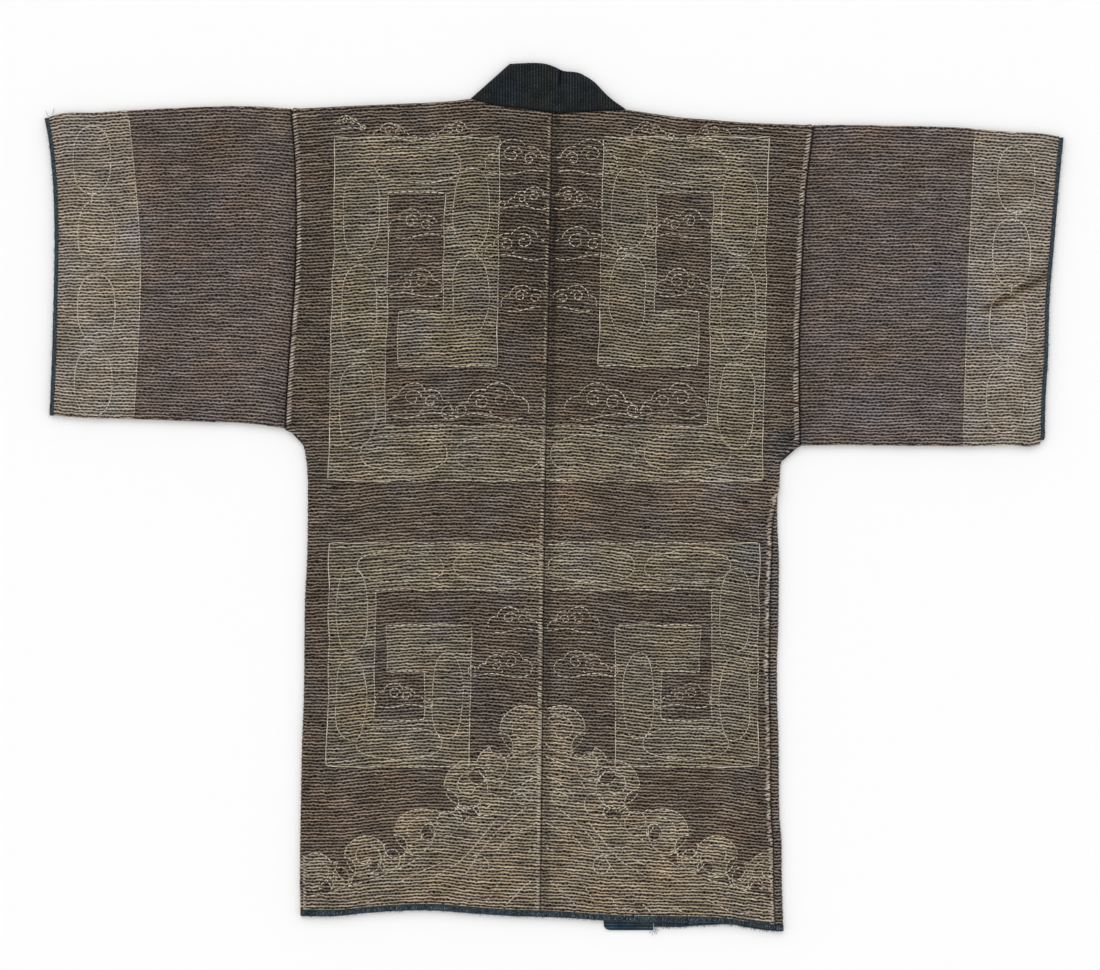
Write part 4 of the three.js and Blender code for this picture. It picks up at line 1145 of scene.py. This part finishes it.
def threads(name, stitches, radius, material, lift=0.35, heightAt=None):
    # Stitches as short strands that dip into the cloth at both ends: each is 4 rings of 4 points, and 2 tips
    a, b = stitches[:, 0], stitches[:, 1]
    count = len(stitches)
    t = np.array([0.0, 0.3, 0.7, 1.0])[None, :]
    arch = np.array([-0.45, 1.0, 1.0, -0.45])[None, :]
    thick = np.array([0.55, 1.0, 1.0, 0.55])[None, :]
    size = radius * np.random.default_rng(count).uniform(0.8, 1.2, count)[:, None]
    along = (b - a) / np.maximum(np.linalg.norm(b - a, axis=1), 1e-6)[:, None]
    aside = np.stack([-along[:, 1], along[:, 0]], -1)[:, :, None, None]
    cx = mix(a[:, :1], b[:, :1], t)
    cy = mix(a[:, 1:], b[:, 1:], t)
    base = heightAt(cx, cy) if heightAt else cloth["furrowTop"] + cloth["rowHeight"] + relief(cx, cy)
    cz = base + lift * arch
    angle = np.array([0, 0.5, 1, 1.5]) * np.pi + np.pi / 4
    ring = (size * thick)[..., None]
    px = cx[..., None] + ring * np.cos(angle) * aside[:, 0]
    py = cy[..., None] + ring * np.cos(angle) * aside[:, 1]
    pz = cz[..., None] + 0.75 * ring * np.sin(angle)
    tips = np.stack([cx, cy, cz], -1)[:, [0, -1]]
    tips[..., :2] += np.array([-0.3, 0.3])[None, :, None] * along[:, None, :]
    tips[..., 2] -= 0.2
    points = np.concatenate([np.stack([px, py, pz], -1).reshape(count, 16, 3), tips], axis=1)
    index = np.arange(16).reshape(4, 4)
    faces = [gridFaces(np.pad(index, ((0, 0), (0, 1)), "wrap"))]
    faces.append(np.stack([np.roll(index[0], -1), index[0], np.full(4, 16)], -1))
    faces.append(np.stack([index[3], np.roll(index[3], -1), np.full(4, 17)], -1))
    faces = np.concatenate(faces)[None] + 18 * np.arange(count)[:, None, None]
    makePiece(name, points.reshape(-1, 3), faces.reshape(-1, 3), material)


def onBothHalves(stitches, keep=4):
    # Design places to the coat's own, on both halves, less the stitches close to a seam, the hem or an edge
    away, y = stitches[..., 0], stitches[..., 1]
    sx, sy = strayed(away, y)
    sx, y = 2 * away - sx, 2 * y - sy
    placed = []
    for out in (-1, 1):
        both = np.stack([curve(centreSeam, y) + out * sx, y], -1)[(away > keep).all(1)]
        placed.append(both[:, ::out])
    placed = np.concatenate(placed)
    x, y = placed[..., 0], placed[..., 1]
    top = np.where(x < 0, curve(halves["left"]["shoulder"], x), curve(halves["right"]["shoulder"], x))
    inside = (x > outerEdge(halves["left"], y) + 8) & (x < outerEdge(halves["right"], y) - 18)
    inside = inside & (y < top - 7) & (y > curve(backHem, x) + 12)
    return placed[inside.all(1)]


def waveStitches():
    # The water's outline, a curl in each head, and flowing lines and small curls in the water below
    kept = []
    distance = np.arange(0, 310, 5)
    edge = stitchesAlong(np.stack([distance, curve(design["waterTop"], distance)], -1))
    for stitches in [stitchesAlong(ringPath(*ring, ring[2])) for ring in heads + hollows] + [edge]:
        kept.append(stitches[np.abs(depthInWater(*stitches.mean(1).T)) < 0.8])
    for cx, cy, r in heads:
        kept.append(stitchesAlong(ringPath(cx, cy, 0.96 * r, 0.96 * r, start=-0.3, turns=-1.45, shrink=0.8)))
    for k, below in enumerate(design["echoes"]):
        away = np.linspace(5, 305, 160)
        rise = 7 * np.sin(away / 21 + 1.9 * k) * np.minimum(1, away / 40)
        echo = stitchesAlong(np.stack([away, curve(design["waterTop"], away) - below + rise], -1))
        x, y = echo.mean(1).T
        kept.append(echo[(np.sin(x / 17 + 2.3 * k) > -0.55) & (depthIn(heads, x, y) < -2)])
    for k in range(7):
        cx = 24 + 43 * k + 9 * (k % 2)
        cy = curve(design["waterTop"], cx) - 62 - 20 * (k % 3)
        kept.append(stitchesAlong(ringPath(cx, cy, 15, 13, start=k, turns=1.7, shrink=0.8)))
    return np.concatenate(kept)


def cloudStitches():
    # A cloud: the outline of its lobes, curls in the two largest, and a flat foot that ends in a curl
    kept = []
    for cx, foot, size, hand in design["clouds"]:
        lobes = [(cx + hand * size * lx, foot + size * ly, size * r) for lx, ly, r in design["lobes"]]
        outline = unionOutline(lobes)
        kept.append(outline[outline[:, :, 1].min(1) > foot])
        for lx, ly, r in lobes[1:3]:
            curl = ringPath(lx, ly, 0.62 * r, 0.58 * r, start=2 + hand, turns=-1.3 * hand, shrink=0.75)
            kept.append(stitchesAlong(curl))
        along = np.linspace(-1.9, 1.5, 40)
        tail = np.stack([cx + hand * size * along, foot - 0.12 * size * (1 + np.sin(2.2 * along))], -1)
        r = 0.34 * size
        curl = ringPath(tail[0, 0], tail[0, 1] + r, r, r, start=-np.pi / 2, turns=-hand, shrink=0.6)
        kept += [stitchesAlong(tail), stitchesAlong(curl)]
    return np.concatenate(kept)


def cuffStitches():
    # The line that bounds each cuff's band, and the chain of linked ovals in the band
    kept = []
    for half in halves.values():
        y = np.linspace(half["armhole"][0][0] + 18, half["cuff"][-1][0] - 1, 60)
        kept.append(stitchesAlong(np.stack([curve(half["cuffBand"], y), y], -1)))
        lowest, highest = y[0] - 6, y[-1] - 6
        for k in range(4):
            cy = mix(lowest, highest, (k + 0.5) / 4)
            cx = (curve(half["cuffBand"], cy) + curve(half["cuff"], cy)) / 2
            kept.append(stitchesAlong(ringPath(cx, cy, 23, (highest - lowest) / 8 - 4, square=0.85)))
            if k:
                link = mix(lowest, highest, k / 4)
                kept.append(stitchesAlong([[cx - 1, link - 8], [cx + 1, link + 8]]))
    return np.concatenate(kept)


outlineRadius = 0.72
frets = design["frets"]
fretStitches = np.concatenate([unionOutline([tuple(box) for box in bars(fret)]) for fret in frets])
ovalStitches = np.concatenate([stitchesAlong(path) for fret in frets for path in ovalsInBars(fret)])
threads("fret_outline_stitches", onBothHalves(fretStitches), outlineRadius, outlineThread)
threads("oval_stitches", onBothHalves(ovalStitches), outlineRadius * 0.9, outlineThread)
threads("wave_stitches", onBothHalves(waveStitches()), outlineRadius, outlineThread)
threads("cloud_stitches", onBothHalves(cloudStitches()), outlineRadius, outlineThread)
threads("cuff_band_stitches", cuffStitches(), outlineRadius * 1.15, outlineThread)


def seamStitches(runs):
    # Slanting stitches beside a seam: one to each row, from one distance inside the line to another, and
    # rising on the way. Jitter and gaps say how uneven a run is.
    placed = []
    right = halves["right"]
    random = np.random.default_rng(71)
    for table, out, low, high, near, far, rise, jitter, gaps in runs:
        y = np.arange(low, high, cloth["rowPitch"])

        def uneven(most):
            # a random shift of each stitch
            return random.uniform(-most, most, len(y)) * jitter

        y = y + uneven(0.5)
        edge = curve(table, y)
        start, end = near + 0 * y, far + 0 * y
        if table is right["side"]:
            start = cloth["foldRadius"] - curve(right["seamPlace"], y) + 1.6
            end = start + (far - near)
        start = start + uneven(0.4)
        end = end + uneven(0.9)
        a = np.stack([edge - out * start, y], -1)
        b = np.stack([edge - out * end, y + rise + uneven(0.6)], -1)
        placed.append(np.stack([a, b], 1)[random.uniform(0, 1, len(y)) > gaps])
    return np.concatenate(placed)


# Each row: the seam, its outward side, lowest and highest place, near and far distance, rise, jitter, gaps
left, right = halves["left"], halves["right"]
welts = [
    (left["armhole"], -1, 92, 470, 1.3, 6.8, 2.2, 1, 0.06),
    (right["armhole"], 1, 72, 450, 1.3, 7.2, -2.2, 1, 0.06),
    (left["side"], -1, -500, -436, 3.8, 7.6, -1.4, 1, 0.06),
]
sideSeam = [
    (right["side"], 1, -518, 20, 11.6, 16.2, -1.6, 2.3, 0.16),
    (right["side"], 1, -516, 14, 14.0, 17.2, 0.9, 2.0, 0.5),
]
upperSeam = [(centreSeam, 1, 68, 462, 2.0, 5.2, 1.6, 1.5, 0.2)]
lowerSeam = [(centreSeam, 1, -500, 64, 1.4, 6.0, 1.2, 1.2, 0.1)]
sideThread = cottonThread("side_seam_thread", "#c3b7ad", "#887b72")
upperThread = cottonThread("upper_seam_thread", "#b5aa92", "#82786a")
centreThread = cottonThread("centre_seam_thread", "#c4b8a5", "#978b79")
threads("seam_stitches", seamStitches(welts), 1.15, seamThread, lift=1.4)
threads("side_seam_stitches", seamStitches(sideSeam), 1.3, sideThread, lift=1.5)
threads("upper_seam_stitches", seamStitches(upperSeam), 1.1, upperThread, lift=1.3)
threads("centre_seam_stitches", seamStitches(lowerSeam), 1.2, centreThread, lift=1.3)


def looseFibres():
    # Fine fibres that stand off the bound edges of the hem and the cuffs
    random = np.random.default_rng(81)
    x = random.uniform(-308, 278, 900)
    edge = np.where(x > 122, curve(halves["right"]["frontHem"], x), curve(backHem, x))
    placed = [np.stack([x, edge, 0 * x - np.pi / 2], -1)]
    for half in halves.values():
        y = random.uniform(half["cuff"][0][0], half["cuff"][-1][0], 330)
        facing = 0 * y + (np.pi if half["outward"] < 0 else 0)
        placed.append(np.stack([curve(half["cuff"], y), y, facing], -1))
    x, y, facing = np.concatenate(placed).T
    facing = facing + random.uniform(-1.2, 1.2, len(x))
    long = random.uniform(0.7, 2.8, len(x))
    start, ahead = np.stack([x, y], -1), np.stack([np.cos(facing), np.sin(facing)], -1)
    return np.stack([start - ahead, start + long[:, None] * ahead], 1)


fibreThread = cottonThread("indigo_fibre", "#5b6870", "#2a343b")
threads("edge_fibres", looseFibres(), 0.16, fibreThread,
        heightAt=lambda x, y: 4 + 2 * np.sin(x * 1.7 + y))
# threads that hang off the tab of the right collar band and the corner of the left cuff
frayed = np.array([
    [(120, -527), (124, -534)], [(121, -526), (127, -531)], [(119, -528), (121, -536)],
    [(122, -524), (126, -535)], [(118, -528), (117, -534)], [(122, -527), (129, -529)],
    [(121, -528), (123, -532)], [(-613, 468), (-611, 476)], [(-618, 466), (-622, 473)],
], float)
frayedThread = cottonThread("frayed_thread", "#8b9aa0", "#4c5a61")
threads("frayed_threads", frayed, 0.3, frayedThread, heightAt=lambda x, y: 2.2 + 0 * x)
print("stitches made")

# A pale floor and soft studio light from the top of the picture
studio = {"floorReach": 6, "paper": 0.9, "sky": 0.965, "sun": 0.6, "tilt": 46, "turn": 12, "softness": 40}
reach = studio["floorReach"]
floorMesh = bpy.data.meshes.new("floor")
floorCorners = [(x * reach, y * reach, -0.0001) for x, y in ((-1, -1), (1, -1), (1, 1), (-1, 1))]
floorMesh.from_pydata(floorCorners, [], [(0, 1, 2, 3)])
floor = bpy.data.objects.new("floor", floorMesh)
bpy.context.collection.objects.link(floor)
paper, add = newMaterial("matte_white_paper")
add("OutputMaterial", add("BsdfPrincipled", Base_Color=(*[studio["paper"]] * 3, 1), Roughness=1.0))
floorMesh.materials.append(paper)

world = bpy.data.worlds.new("studio")
world.use_nodes = True
sky = world.node_tree.nodes["Background"].inputs
sky["Color"].default_value = (1, 1, 1, 1)
sky["Strength"].default_value = studio["sky"]
bpy.context.scene.world = world
sunData = bpy.data.lights.new("soft_key", "SUN")
sunData.energy = studio["sun"]
sunData.angle = np.radians(studio["softness"])
sun = bpy.data.objects.new("soft_key", sunData)
sun.rotation_euler = (np.radians(-studio["tilt"]), 0, np.radians(studio["turn"]))
bpy.context.collection.objects.link(sun)
bpy.context.scene.view_settings.view_transform = "Standard"
print("floor and light made")
